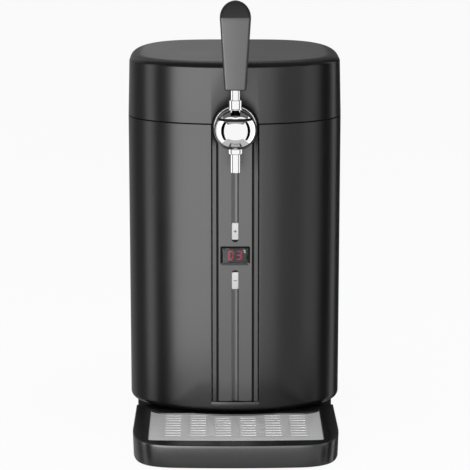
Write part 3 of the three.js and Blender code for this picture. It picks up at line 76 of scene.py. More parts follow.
# %% Camera
MM = 0.001
SENSOR = 36.0
PICTURE = 470
FOCAL_PIXELS = 2562.7
WIDEST = 23.0
CAMERA_PLACE = (-24.0, WIDEST - 3300.0, 836.6)
LOOKING_DOWN = 10.158
LOOKING_ASIDE = -0.425


def place_camera():
    data = bpy.data.cameras.new("view")
    data.sensor_width = SENSOR
    data.lens = FOCAL_PIXELS * SENSOR / PICTURE
    camera = bpy.data.objects.new("view", data)
    camera.location = Vector(CAMERA_PLACE) * MM
    camera.rotation_euler = (math.radians(90 - LOOKING_DOWN), 0, math.radians(LOOKING_ASIDE))
    bpy.context.scene.collection.objects.link(camera)
    bpy.context.scene.camera = camera
    return camera


camera = place_camera()
print("lens:", round(camera.data.lens, 1), "mm")

# %% [markdown]
# ## Reading sizes from the frame
# A piece that replaces one of the frame's nodes has to fill the same space. So the sizes that can be read off
# a node's box are read there, and only the roundings and wall sections are written out. FIT is the usual gap
# between two pieces, HAIR keeps the tip of a turned piece open, and OVERRUN is how far a cutter reaches past
# what it cuts.

# %% Sizes


def measured(node):
    """Lowest and highest corner of a node, in millimetres."""
    low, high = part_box(node)
    return np.array(low) / MM, np.array(high) / MM


body_low, body_high = measured("body_shell")
lid_low, lid_high = measured("lid_shell")
tray_low, tray_high = measured("drip_tray")
grille_low, grille_high = measured("drip_grille")
ball_low, ball_high = measured("tap_ball")
flange_low, flange_high = measured("tap_flange")

HALF_WIDTH = body_high[0]
REAR_DEPTH = body_high[1] - WIDEST
FRONT_DEPTH = 103.0
FRONT_ROUND = 0.952
REAR_ROUND = 0.541
FLOOR = body_low[2]
SEAM = body_high[2]
LID_TOP = lid_high[2]
WALL = 3.2
SHELL_LEAN = 1.3
LID_LEAN = 1.5
FILLET = 8.0
EDGE = 0.6
FIT = 0.3
HAIR = 0.02
OVERRUN = 2.0
TAP_Y = ball_low[1] + ball_high[0]
TAP_Z = (flange_low[2] + flange_high[2]) / 2
ARCH = 30.0
print("cabinet", round(2 * HALF_WIDTH, 1), "mm wide; tap axis at", round(TAP_Y, 1), round(TAP_Z, 1))

# %% [markdown]
# ## Meshes from rings and profiles
# Moulded and turned pieces are all skins over rings: a ring of points is repeated at several heights and the
# gaps are closed with faces. One helper makes that skin, and the others only supply rings: a turned profile,
# a box, a rod, or a straight extrusion. An extra ring just inside each flat end keeps the smooth shading of
# the rounded edge from spreading over the flat.

# %% Mesh helpers


def mesh_object(name, points, faces):
    mesh = bpy.data.meshes.new(name)
    mesh.from_pydata([tuple(float(v) * MM for v in p) for p in points], [], [tuple(f) for f in faces])
    piece = bpy.data.objects.new(name, mesh)
    bpy.context.scene.collection.objects.link(piece)
    return piece


def outward(piece):
    """Turns all faces of a closed mesh outwards."""
    work = bmesh.new()
    work.from_mesh(piece.data)
    bmesh.ops.recalc_face_normals(work, faces=work.faces)
    work.to_mesh(piece.data)
    work.free()
    return piece


def skin(name, rings, closed=False):
    """A closed skin over rings of equal length. Closed rings of rings make a hoop."""
    count = len(rings[0])
    points = [p for ring in rings for p in ring]
    faces = []
    for r in range(len(rings) if closed else len(rings) - 1):
        low, high = r * count, (r + 1) % len(rings) * count
        for i in range(count):
            j = (i + 1) % count
            faces.append((low + i, low + j, high + j, high + i))
    if not closed:
        faces.append(tuple(range(count))[::-1])
        faces.append(tuple((len(rings) - 1) * count + i for i in range(count)))
    return outward(mesh_object(name, points, faces))


def turned(name, profile, centre, axis="z", sides=96):
    """A piece turned on a lathe, from (radius, place along the axis) pairs, open ends closed flat."""
    turns = np.arange(sides) / sides * 2 * math.pi
    rings = []
    for radius, along in profile:
        u, v = radius * np.cos(turns), radius * np.sin(turns)
        w = np.full(sides, along)
        columns = {"z": (u, v, w), "y": (u, w, v), "x": (w, u, v)}[axis]
        rings.append(np.stack(columns, axis=1) + np.array(centre))
    hollow = profile[0] == profile[-1]
    return skin(name, rings[:-1] if hollow else rings, closed=hollow)


def rod(name, axis, radius, span, centre, sides=64):
    return turned(name, [(radius, span[0]), (radius, span[1])], centre, axis, sides)


def block(name, x, y, z):
    corners = [(x[0], y[0]), (x[1], y[0]), (x[1], y[1]), (x[0], y[1])]
    return skin(name, [[(u, v, w) for u, v in corners] for w in z])


def prism(name, axis, outline, span):
    """A straight extrusion: along z from (x, y), along x from (y, z), along y from (x, z)."""
    order = {"z": (0, 1, 2), "x": (2, 0, 1), "y": (0, 2, 1)}[axis]
    return skin(name, [[tuple((u, v, w)[i] for i in order) for u, v in outline] for w in span])


print("mesh helpers ready")

# %% [markdown]
# ## Cutting, joining and softening
# Slots, windows and screw holes are cut with Blender's Boolean modifier, whose exact solver keeps a closed
# mesh closed. Afterwards a narrow bevel breaks the sharp edges, because it is the bright line on a broken
# edge that makes a moulded piece look real. Both can leave points that coincide, so the mesh is tidied before
# and after the bevel. Each modifier is settled into the mesh at once, so that the mesh itself holds what is
# rendered.

# %% Cutting helpers
DOUBLED = 0.002
SMOOTH_ANGLE = 32


def settle(piece):
    """Bakes the modifiers of a piece into its mesh."""
    graph = bpy.context.evaluated_depsgraph_get()
    done = bpy.data.meshes.new_from_object(piece.evaluated_get(graph))
    piece.modifiers.clear()
    piece.data = done
    return piece


def combine(piece, tools, operation):
    for tool in tools:
        step = piece.modifiers.new("step", "BOOLEAN")
        step.operation = operation
        step.solver = "EXACT"
        step.object = tool
        settle(piece)
        bpy.data.objects.remove(tool)
    return piece


def cut(piece, *tools):
    return combine(piece, tools, "DIFFERENCE")


def join(piece, *tools):
    return combine(piece, tools, "UNION")


def keep(piece, *tools):
    return combine(piece, tools, "INTERSECT")


def smooth(piece, angle=SMOOTH_ANGLE):
    piece.data.shade_smooth()
    piece.data.set_sharp_from_angle(angle=math.radians(angle))
    return piece


def tidy(piece):
    """Joins doubled points and drops faces without area."""
    work = bmesh.new()
    work.from_mesh(piece.data)
    bmesh.ops.remove_doubles(work, verts=work.verts, dist=DOUBLED * MM)
    bmesh.ops.dissolve_degenerate(work, edges=work.edges, dist=DOUBLED * MM)
    work.to_mesh(piece.data)
    work.free()
    return piece


def soften(piece, width=0.4, segments=2, angle=SMOOTH_ANGLE, flat=False):
    """Breaks the edges sharper than an angle with a narrow bevel. Flat keeps plane faces evenly lit."""
    tidy(piece)
    bevel = piece.modifiers.new("edges", "BEVEL")
    bevel.width = width * MM
    bevel.segments = segments
    bevel.limit_method = "ANGLE"
    bevel.angle_limit = math.radians(angle)
    bevel.use_clamp_overlap = True
    settle(piece)
    tidy(piece)
    smooth(piece)
    if flat:
        normals = piece.modifiers.new("normals", "WEIGHTED_NORMAL")
        normals.keep_sharp = True
        settle(piece)
    return piece


def merged(name, pieces):
    """One object that holds the meshes of several."""
    work = bmesh.new()
    for piece in pieces:
        work.from_mesh(piece.data)
        bpy.data.objects.remove(piece)
    mesh = bpy.data.meshes.new(name)
    work.to_mesh(mesh)
    work.free()
    whole = bpy.data.objects.new(name, mesh)
    bpy.context.scene.collection.objects.link(whole)
    return whole


print("cutting helpers ready")

# %% [markdown]
# ## Shader maths as plain sums
# A material is easier to read as a sum than as a web of nodes. The small class below wraps one output
# socket: adding, multiplying or subtracting it adds the Math node that does so. Vectors go through Vector
# Math and colours through Mix, because a Math node would turn them grey. Every other node is made by one
# method.

# %% Material helpers


class Wire:
    """An output socket that can be used in sums."""

    def __init__(self, recipe, socket):
        self.recipe, self.socket = recipe, socket

    def sum(self, operation, other, swapped=False):
        first, second = (other, self) if swapped else (self, other)
        if self.socket.type == "VECTOR":
            return self.recipe.node("VectorMath", {"operation": operation}, {0: first, 1: second})
        if self.socket.type == "RGBA":
            blend = {"data_type": "RGBA", "blend_type": operation}
            return self.recipe.node("Mix", blend, {0: 1.0, 6: first, 7: second}, output=2)
        return self.recipe.node("Math", {"operation": operation}, {0: first, 1: second})

    def __add__(self, other):
        return self.sum("ADD", other)

    def __radd__(self, other):
        return self.sum("ADD", other, swapped=True)

    def __sub__(self, other):
        return self.sum("SUBTRACT", other)

    def __rsub__(self, other):
        return self.sum("SUBTRACT", other, swapped=True)

    def __mul__(self, other):
        return self.sum("MULTIPLY", other)

    def __rmul__(self, other):
        return self.sum("MULTIPLY", other, swapped=True)


class Nodes:
    """The node tree of a material or a world."""

    def __init__(self, owner):
        owner.use_nodes = True
        self.tree = owner.node_tree

    def node(self, kind, settings=None, sockets=None, output=0):
        made = self.tree.nodes.new("ShaderNode" + kind)
        for name, value in (settings or {}).items():
            if name == "stops":
                self.stops(made.color_ramp, value)
            else:
                setattr(made, name, value)
        for name, value in (sockets or {}).items():
            self.feed(made.inputs[name], value)
        return Wire(self, made.outputs[output])

    def stops(self, ramp, stops):
        while len(ramp.elements) < len(stops):
            ramp.elements.new(1.0)
        for element, (place, colour) in zip(ramp.elements, stops):
            element.position = place
            element.color = (*colour, 1.0)

    def feed(self, socket, value):
        if isinstance(value, Wire):
            self.tree.links.new(value.socket, socket)
        elif socket.type == "RGBA" and not isinstance(value, (int, float)):
            socket.default_value = (*value, 1.0)
        elif socket.type in ("RGBA", "VECTOR") and isinstance(value, (int, float)):
            socket.default_value = (value,) * len(socket.default_value)
        else:
            socket.default_value = value


class Recipe(Nodes):
    """A node material and its Principled shader."""

    def __init__(self, name):
        self.material = bpy.data.materials.new(name)
        super().__init__(self.material)
        self.shader = self.tree.nodes["Principled BSDF"]

    def set(self, **values):
        """Sets or links sockets of the Principled shader, with _ for a space in their names."""
        for name, value in values.items():
            self.feed(self.shader.inputs[name.replace("_", " ")], value)
        return self.material

    def place(self, scale=(1, 1, 1)):
        """Coordinates of the piece itself, in metres times a scale."""
        here = self.node("TexCoord", output=3)
        return here * Vector(scale)

    def noise(self, per_metre, detail=2.0, rough=0.5, scale=(1, 1, 1)):
        sockets = {"Vector": self.place(scale), "Scale": per_metre, "Detail": detail, "Roughness": rough}
        return self.node("TexNoise", sockets=sockets)

    def blend(self, share, first, second):
        sockets = {0: share, 6: first, 7: second}
        return self.node("Mix", {"data_type": "RGBA"}, sockets, output=2)

    def relief(self, height, depth, strength=1.0):
        """A normal from a height of 0 to 1, whose depth is in millimetres."""
        sockets = {"Height": height, "Distance": depth * MM, "Strength": strength}
        return self.node("Bump", sockets=sockets)


print("material helpers ready")

# %% [markdown]
# ## Satin black plastic
# The cabinet, lid and tray are injection-moulded in black. Such a surface isn't mirror-smooth: a fine grain
# from the mould spreads each reflection, and handling leaves faint patches that are a little glossier. Colour
# changes hardly at all, so nearly everything happens in roughness and in a very shallow bump.

# %% Cabinet plastic


def satin_plastic(name, colour, roughness, grain=0.006, sheen=0.5):
    recipe = Recipe(name)
    patches = recipe.noise(9.0, detail=3.0)
    specks = recipe.noise(1900.0, detail=1.0)
    tone = recipe.blend(patches, [c * 0.9 for c in colour], [c * 1.12 for c in colour])
    return recipe.set(
        Base_Color=tone,
        Roughness=roughness - 0.035 + 0.07 * patches,
        Normal=recipe.relief(specks, grain),
        Specular_IOR_Level=sheen,
        IOR=1.52,
    )


cabinet_black = satin_plastic("cabinet_plastic", (0.007, 0.007, 0.0073), 0.26, sheen=0.33)
channel_black = satin_plastic("channel_plastic", (0.02, 0.02, 0.0205), 0.34)
grip_grey = satin_plastic("grip_plastic", (0.009, 0.009, 0.0092), 0.33, sheen=0.54)
tray_black = satin_plastic("tray_plastic", (0.006, 0.006, 0.0062), 0.27, sheen=0.7)
dark_plastic = satin_plastic("dark_plastic", (0.012, 0.012, 0.0125), 0.6, grain=0.03)
# The dullest black is the plastic of black parts, and also a painted shade on the faces of cuts, creases and
# recesses.
black_and_painted_shade = satin_plastic("black_plastic_and_painted_shade", (0.004, 0.004, 0.004), 0.7, grain=0.02, sheen=0.12)
PLASTICS = (cabinet_black, channel_black, grip_grey, tray_black, dark_plastic, black_and_painted_shade)
print("plastics:", [m.name for m in PLASTICS])

# %% [markdown]
# ## Chrome, steel and aluminium
# Polished chrome is almost a mirror, so its look comes from what surrounds it, and the material only adds the
# faint haze of handling. Brushed sheet is different: thousands of scratches run one way, so the noise that
# drives its bump and roughness is stretched along the brushing.

# %% Metals


def polished_chrome():
    recipe = Recipe("chrome")
    haze = recipe.noise(60.0, detail=4.0)
    return recipe.set(Base_Color=(0.93, 0.93, 0.935), Metallic=1.0, Roughness=0.02 + 0.05 * haze)


def brushed_metal(name, colour, roughness, scale, depth=0.004, metallic=1.0):
    recipe = Recipe(name)
    scratches = recipe.noise(900.0, detail=3.0, rough=0.7, scale=scale)
    patches = recipe.noise(14.0, detail=2.0)
    tone = recipe.blend(scratches, [c * 0.88 for c in colour], colour)
    return recipe.set(
        Base_Color=tone,
        Metallic=metallic,
        Roughness=roughness - 0.06 + 0.08 * scratches + 0.05 * patches,
        Normal=recipe.relief(scratches, depth),
    )


chrome = polished_chrome()
grille_steel = brushed_metal("grille_steel", (0.84, 0.84, 0.84), 0.45, (0.03, 1, 1), metallic=0.22)
stainless = brushed_metal("stainless", (0.68, 0.68, 0.68), 0.28, (1, 0.05, 1))
plain_steel = brushed_metal("plain_steel", (0.5, 0.5, 0.51), 0.4, (1, 1, 0.1))
aluminium = brushed_metal("aluminium", (0.7, 0.71, 0.73), 0.42, (1, 1, 0.04))
print("metals:", [m.name for m in (chrome, grille_steel, stainless, plain_steel, aluminium)])

# %% [markdown]
# ## Small finishes
# The rest are minor: the soft white keys, the smoked window, the glowing digits, rubber, foam and the green
# board. Each gets the one or two things that tell it apart, such as foam's cells or rubber's dull bloom.

# %% Small finishes


def key_plastic():
    recipe = Recipe("button_plastic")
    specks = recipe.noise(2400.0, detail=1.0)
    tone = recipe.blend(recipe.noise(80.0), (0.72, 0.72, 0.71), (0.8, 0.8, 0.79))
    return recipe.set(Base_Color=tone, Roughness=0.42, Normal=recipe.relief(specks, 0.008))


def smoked_window():
    recipe = Recipe("display_window")
    haze = recipe.noise(120.0, detail=3.0)
    return recipe.set(
        Base_Color=(0.003, 0.003, 0.0035), Roughness=0.05 + 0.05 * haze, Alpha=0.55, Specular_IOR_Level=0.3
    )


def glow(name, colour, strength):
    recipe = Recipe(name)
    spread = recipe.noise(700.0, detail=1.0)
    light = recipe.blend(spread, [c * 0.8 for c in colour], colour)
    return recipe.set(Base_Color=(0.01, 0.004, 0.004), Emission_Color=light, Emission_Strength=strength)


def rubber_finish():
    recipe = Recipe("rubber")
    bloom = recipe.noise(220.0, detail=4.0)
    tone = recipe.blend(bloom, (0.014, 0.014, 0.014), (0.03, 0.03, 0.031))
    return recipe.set(Base_Color=tone, Roughness=0.72 + 0.16 * bloom, Normal=recipe.relief(bloom, 0.05))


def foam_finish():
    recipe = Recipe("foam")
    cells = recipe.node("TexVoronoi", sockets={"Vector": recipe.place(), "Scale": 420.0})
    tone = recipe.blend(cells, (0.55, 0.52, 0.45), (0.78, 0.76, 0.7))
    return recipe.set(Base_Color=tone, Roughness=0.9, Normal=recipe.relief(cells, 0.4))


def board_finish():
    recipe = Recipe("circuit_board")
    traces = recipe.node("TexBrick", sockets={"Vector": recipe.place(), "Scale": 260.0}, output=1)
    tone = recipe.blend(traces, (0.012, 0.1, 0.04), (0.03, 0.17, 0.07))
    return recipe.set(Base_Color=tone, Roughness=0.35)


def tube_finish():
    recipe = Recipe("clear_tube")
    bloom = recipe.noise(90.0, detail=3.0)
    tone = recipe.blend(bloom, (0.62, 0.64, 0.65), (0.74, 0.76, 0.77))
    return recipe.set(Base_Color=tone, Roughness=0.2 + 0.1 * bloom, Alpha=0.7)


def ceramic_finish():
    recipe = Recipe("ceramic")
    specks = recipe.noise(1500.0, detail=2.0)
    tone = recipe.blend(specks, (0.7, 0.69, 0.65), (0.82, 0.81, 0.77))
    return recipe.set(Base_Color=tone, Roughness=0.4)


button_white = key_plastic()
window_smoke = smoked_window()
digit_red = glow("digit_red", (1.0, 0.03, 0.12), 3.0)
sign_white = glow("sign_white", (0.95, 0.97, 1.0), 4.0)
rubber = rubber_finish()
foam = foam_finish()
board_green = board_finish()
tube_clear = tube_finish()
ceramic = ceramic_finish()
print("small finishes ready")

# %% [markdown]
# ## Dressing a piece
# A finished piece has to move with the right body, stand for the node that it replaces, and name the material
# slot that it takes its finish from. One function does all three, and looks the body up in the record.

# %% Dress
BODY_OF = {n: body for body, nodes in frame["record"]["behaviour"]["bodies"].items() for n in nodes}


def dress(piece, material, node, replaces=True):
    """Gives a piece its material, body and slot, and lets it stand for a node."""
    piece.data.materials.clear()
    piece.data.materials.append(material)
    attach(piece, BODY_OF[node])
    if replaces:
        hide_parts(node)
    return piece


def paint_shade(piece, inside):
    """Gives the faces whose middle passes a test a dull black: painted shade for a cut or recess."""
    piece.data.materials.append(black_and_painted_shade)
    for face in piece.data.polygons:
        if inside(face.center / MM):
            face.material_index = 1
    return piece


def within(centre, radius, axes=(0, 1, 2)):
    """A test for points inside a sphere, or inside a cylinder when one axis is left out."""
    return lambda point: math.hypot(*(point[a] - centre[a] for a in axes)) < radius


def finish_node(node, material):
    """Keeps a node of the frame and gives it its material."""
    piece = frame["nodes"][node]
    piece.data.materials.clear()
    piece.data.materials.append(material)
    for face in piece.data.polygons:
        face.material_index = 0
    return piece


print("bodies:", sorted(set(BODY_OF.values())))

# %% [markdown]
# ## The plan of the cabinet
# Seen from above, the cabinet is two half super-ellipses that meet at its widest section: nearly a true
# ellipse in front and a squarer curve behind. The wall leans in by little more than a millimetre towards the
# floor. All pieces that share this outline get it from one function.

# %% Cabinet outline
OUTLINE_STEPS = 240


def cabinet_outline(inset, steps=OUTLINE_STEPS):
    turns = np.arange(steps) / steps * 2 * math.pi
    across, along = np.cos(turns), np.sin(turns)
    share = np.where(along < 0, FRONT_ROUND, REAR_ROUND)
    depth = np.where(along < 0, FRONT_DEPTH, REAR_DEPTH) - inset
    x = np.sign(across) * (HALF_WIDTH - inset) * np.abs(across) ** share
    y = np.sign(along) * depth * np.abs(along) ** share + WIDEST
    return np.stack((x, y), axis=1)


def lean(z):
    return SHELL_LEAN * (SEAM - z) / (SEAM - FLOOR)


def leaned(piece):
    """Shears an upright piece so that it follows the lean of the wall."""
    for vertex in piece.data.vertices:
        vertex.co.y += lean(vertex.co.z / MM) * MM
    return piece


def stack(name, outline, levels):
    """A skin over one outline at several (height, inset) levels."""
    return skin(name, [[(x, y, z) for x, y in outline(inset)] for z, inset in levels])


def rounded(z, inset, radius, up, steps=10, spread=1.0):
    """Levels of a rounded edge, from the wall to the flat. A spread above 1 makes it wider than high."""
    levels = []
    for i in range(steps + 1):
        turn = i / steps * math.pi / 2
        rise = radius * (math.sin(turn) - 1)
        levels.append((z + rise if up else z - rise, inset + radius * spread * (1 - math.cos(turn))))
    levels.append((z, inset + radius * spread + EDGE))
    return levels


def front_face(x, inset=0.0):
    """Depth of the cabinet's front wall at a distance from the middle."""
    ratio = abs(x) / (HALF_WIDTH - inset)
    return WIDEST - (FRONT_DEPTH - inset) * (1 - ratio ** (2 / FRONT_ROUND)) ** (FRONT_ROUND / 2)


def cabinet_block(name, inset):
    """The cabinet below the seam as one solid, its face moved in by an inset."""
    bottom = rounded(FLOOR, inset + lean(FLOOR), FILLET, up=False)[::-1]
    top = rounded(SEAM, inset, EDGE, up=True, steps=3)
    return stack(name, cabinet_outline, bottom + top)


print("outline points:", OUTLINE_STEPS)

# %% [markdown]
# ## The body shell
# The shell is one moulding, about 3 mm thick, with its floor turned in for the plinth. It is slotted in front
# for the channel and open behind for the service cover. The cover sits in a shallow rebate, which we cut by
# taking away everything that stands outside a slightly smaller cabinet.

# %% Body shell
FRONT = WIDEST - FRONT_DEPTH
BEHIND = REAR_DEPTH + WIDEST + 2 * OVERRUN
REAR_INSIDE = 200.0
REAR_CUT = 30.0
CHANNEL_BACK = FRONT + 8.1
PANEL_BOTTOM = 46.0
PANEL_GAP = 0.5
SLOT = ARCH - 0.8
SLOT_FLARE = 1.6
PLATE_TOP = 35.0
PLATE_STEP = 4.0
FLOOR_FLANGE = 22.0
COVER_X = 78.0
COVER_Z = (105.0, 335.0)
COVER_LAP = 8.0
COVER_GAP = 0.5
REBATE = 1.7
SCREW_X = COVER_X + COVER_LAP / 2
SCREW_Z = (COVER_Z[0] - COVER_LAP / 2, COVER_Z[1] + COVER_LAP / 2)
SCREW_HOLE = 1.7
INLET_X = -45.0
INLET_HALF = (13.5, 9.8)
SWITCH_X = 45.0
SWITCH_HALF = (9.5, 8.4)
INLET_Z = 70.0
SHELL_BEVEL = 0.45


def rear_box(name, lap, front=WIDEST):
    x = (-COVER_X - lap, COVER_X + lap)
    return block(name, x, (front, BEHIND), (COVER_Z[0] - lap, COVER_Z[1] + lap))


def rear_block(name, x, half, grow, reach=(REAR_INSIDE, BEHIND)):
    """A block at the height of the inlet, from its half sizes and how much wider it is on every side."""
    half_x, half_z = half[0] + grow, half[1] + grow
    return block(name, (x - half_x, x + half_x), reach, (INLET_Z - half_z, INLET_Z + half_z))


def screw_holes(name):
    reach = (BEHIND - REAR_CUT, BEHIND)
    holes = [rod(name, "y", SCREW_HOLE, reach, (x, 0, z), 24) for x in (-SCREW_X, SCREW_X) for z in SCREW_Z]
    return merged(name, holes)


def slot_outline():
    """The slot for the channel, which flares at the front into two broken edges."""
    wall = front_face(SLOT)
    grow = SLOT_FLARE + OVERRUN
    right = [(SLOT, CHANNEL_BACK), (SLOT, wall + SLOT_FLARE), (SLOT + grow, wall - OVERRUN)]
    return right + [(-x, y) for x, y in right[::-1]]


def body_shell():
    inner = stack("inner", cabinet_outline, [
        (PLATE_TOP, WALL + PLATE_STEP + lean(PLATE_TOP)),
        (PLATE_TOP + PLATE_STEP, WALL + lean(PLATE_TOP)),
        (SEAM + OVERRUN, WALL),
    ])
    levels = (FLOOR - OVERRUN, PLATE_TOP + OVERRUN)
    hole = stack("hole", cabinet_outline, [(z, FLOOR_FLANGE) for z in levels])
    channel = leaned(prism("channel", "z", slot_outline(), (PANEL_BOTTOM - PANEL_GAP, SEAM + OVERRUN)))
    opening = rear_box("opening", 0.0)
    rebate = cut(rear_box("rebate", COVER_LAP), cabinet_block("core", REBATE))
    inlet = rear_block("inlet", INLET_X, INLET_HALF, FIT)
    toggle = rear_block("toggle", SWITCH_X, SWITCH_HALF, FIT)
    shell = cabinet_block("cabinet_skin", 0.0)
    cut(shell, inner, hole, channel, opening, rebate, inlet, toggle, screw_holes("holes"))
    return soften(shell, SHELL_BEVEL)


shell = dress(body_shell(), cabinet_black, "body_shell")
print("body shell faces:", len(shell.data.polygons))

# %% [markdown]
# ## The service cover
# The cover follows the back of the cabinet, so it is cut out of the same solid: a thin rim that lies in the
# rebate, and a thicker middle. Two banks of slots let air to the heat sink. The slots are all one tool, which
# is quicker to cut than one slot at a time.

# %% Rear cover
SLOT_COUNT = 13
SLOT_PITCH = 10.0
SLOT_HALF = (1.5, 31.0)
SLOT_CENTRES = (150.0, 235.0)


def stadium(half_width, half_length, steps=6):
    """A slot's outline with round ends, drawn about its centre with its length along v."""
    points = []
    straight = half_length - half_width
    for end in (1, -1):
        for i in range(steps + 1):
            turn = math.pi * i / steps + (0 if end == 1 else math.pi)
            points.append((half_width * math.cos(turn), end * straight + half_width * math.sin(turn)))
    return points


def vent_tool():
    slots = []
    for height in SLOT_CENTRES:
        for i in range(SLOT_COUNT):
            x = (i - (SLOT_COUNT - 1) / 2) * SLOT_PITCH
            outline = [(x + u, height + v) for u, v in stadium(*SLOT_HALF)]
            slots.append(prism("slot", "y", outline, (BEHIND - REAR_CUT, BEHIND)))
    return merged("slots", slots)


def rear_cover():
    rim = keep(cabinet_block("cover_skin", 0.0), rear_box("rim", COVER_LAP - COVER_GAP))
    cut(rim, cabinet_block("core", REBATE - FIT))
    plug = keep(cabinet_block("plug", 0.0), rear_box("middle", -COVER_GAP))
    cut(plug, cabinet_block("core", WALL))
    join(rim, plug)
    cut(rim, vent_tool(), screw_holes("holes"))
    return soften(rim, 0.3)


dress(rear_cover(), dark_plastic, "rear_cover")
print("vent slots:", SLOT_COUNT * len(SLOT_CENTRES))

# %% [markdown]
# ## The lid
# The lid goes on with the same outline and leans in a little more. Its top is crowned: the edge turns over
# in a quarter of an ellipse, CROWN times as wide as it is high, and so catches a broad soft light. The front
# wall is cut by the circle that it shares with the tap's bulkhead.

# %% Lid
LID_BOTTOM = lid_low[2]
CROWN = 2.4
ARCH_SIDES = 128


def arch_cut(back):
    """The round opening about the tap, from before the front wall to a depth behind it."""
    return rod("arch", "y", ARCH, (FRONT - OVERRUN, back), (0, 0, TAP_Z), ARCH_SIDES)


def lid_shell():
    bottom = [(LID_BOTTOM, 2 * EDGE), (LID_BOTTOM, EDGE), (LID_BOTTOM + EDGE, 0.0)]
    top = rounded(LID_TOP, LID_LEAN, FILLET, up=True, steps=16, spread=CROWN)
    lid = stack("lid_cover", cabinet_outline, bottom + top)
    inner = stack("inner", cabinet_outline, [
        (LID_BOTTOM - OVERRUN, WALL),
        (LID_TOP - FILLET, WALL + LID_LEAN),
        (LID_TOP - WALL, FILLET + LID_LEAN),
    ])
    cut(lid, inner, arch_cut(WIDEST - FRONT_DEPTH / 2))
    return soften(lid, SHELL_BEVEL)


dress(lid_shell(), cabinet_black, "lid_shell")
print("lid height:", round(LID_TOP - LID_BOTTOM, 1), "mm")

# %% [markdown]
# ## The front channel
# Down the middle of the front runs a shallow channel: two sloped sides, a crease at the foot of each, and a
# flat floor with a half-round groove above and below the controls. The window between the keys widens
# forward into a sloped rim. The strip leans with the wall behind it, so we build it upright and then shear
# its points. Creases, rim and groove ends get a duller, blacker material than the rest: painted shade.

# %% Front channel
CHANNEL_EDGE = SLOT - PANEL_GAP
CREASE_WIDTH = 3.0
CREASE_DEPTH = 2.2
CHANNEL_FLOOR = 22.6
FLOOR_Y = FRONT + 4.5
BEFORE_FLOOR = FLOOR_Y - 3.0
GROOVE_HALF = 4.45
GROOVE_DEPTH = 2.2
UPPER_END = 253.5
LOWER_END = 217.4
KEYS = {"plus_button": 267.6, "minus_button": 203.7}
KEY_HALF = (4.1, 10.75)
KEY_CORNER = 0.8
KEY_HOLE_CORNER = 0.9
WINDOW_HALF = (16.2, 9.5)
WINDOW_Z = 235.9
WINDOW_CORNER = 0.6
RIM_WIDTH = 2.8
RIM_DEPTH = 1.4
RIM_CORNER_SHARE = 0.4


def groove(name, low, high, end):
    """A half-round groove with one rounded end."""
    radius = (GROOVE_HALF**2 + GROOVE_DEPTH**2) / (2 * GROOVE_DEPTH)
    axis = FLOOR_Y + GROOVE_DEPTH - radius
    middle = end + GROOVE_HALF if end == low else end - GROOVE_HALF
    run = (middle, high) if end == low else (low, middle)
    reach = (BEFORE_FLOOR, CHANNEL_BACK)
    guide = block("guide", (-GROOVE_HALF, GROOVE_HALF), reach, run)
    join(guide, rod("end", "y", GROOVE_HALF, reach, (0, 0, middle), 48))
    return keep(rod(name, "z", radius, (low, high), (0, axis, 0), 128), guide)


def rounded_outline(half_x, half_z, centre_z, radius, steps=6):
    """(x, z) points of a rectangle with round corners."""
    outline = []
    for side, end, start in ((1, 1, 0), (-1, 1, 90), (-1, -1, 180), (1, -1, 270)):
        x, z = side * (half_x - radius), centre_z + end * (half_z - radius)
        for i in range(steps + 1):
            turn = math.radians(start + 90 * i / steps)
            outline.append((x + radius * math.cos(turn), z + radius * math.sin(turn)))
    return outline


def rounded_box(name, half_x, half_z, y, centre_z, radius):
    return prism(name, "y", rounded_outline(half_x, half_z, centre_z, radius), y)


def window_tool():
    """The window as a tool: straight behind, and widening in front into a sloped rim."""
    past_rim = RIM_WIDTH + RIM_WIDTH / RIM_DEPTH * OVERRUN
    rings = []
    for y, wider in ((CHANNEL_BACK + OVERRUN, 0), (FLOOR_Y + RIM_DEPTH, 0), (FLOOR_Y - OVERRUN, past_rim)):
        half_x, half_z = WINDOW_HALF[0] + wider, WINDOW_HALF[1] + wider
        outline = rounded_outline(half_x, half_z, WINDOW_Z, WINDOW_CORNER + wider * RIM_CORNER_SHARE)
        rings.append([(x, y, z) for x, z in outline])
    return skin("window", rings)


def key_hole(z):
    half_x, half_z = KEY_HALF[0] + FIT, KEY_HALF[1] + FIT
    return rounded_box("key", half_x, half_z, (BEFORE_FLOOR, CHANNEL_BACK + OVERRUN), z, KEY_HOLE_CORNER)


def front_channel():
    near, far = CHANNEL_FLOOR - CREASE_WIDTH / 2, CHANNEL_FLOOR + CREASE_WIDTH / 2
    right = [
        (near, FLOOR_Y), (near, FLOOR_Y + CREASE_DEPTH), (far, FLOOR_Y + CREASE_DEPTH), (far, FLOOR_Y),
        (CHANNEL_EDGE, front_face(CHANNEL_EDGE)), (CHANNEL_EDGE, CHANNEL_BACK),
    ]
    outline = [(-x, y) for x, y in right[::-1]] + right
    panel = prism("channel_strip", "z", outline, (PANEL_BOTTOM, TAP_Z))
    holes = [key_hole(z) for z in KEYS.values()]
    upper = groove("upper", UPPER_END, TAP_Z, UPPER_END)
    lower = groove("lower", PANEL_BOTTOM - OVERRUN, LOWER_END, LOWER_END)
    cut(panel, window_tool(), *holes, upper, lower, arch_cut(CHANNEL_BACK + OVERRUN))
    return leaned(soften(panel, 0.25, angle=20, flat=True))


print("channel", 2 * CHANNEL_EDGE, "mm wide, its floor", round(FLOOR_Y - FRONT, 1), "mm deep")

# %% Painted shade in the recesses
TOUCH = 0.2


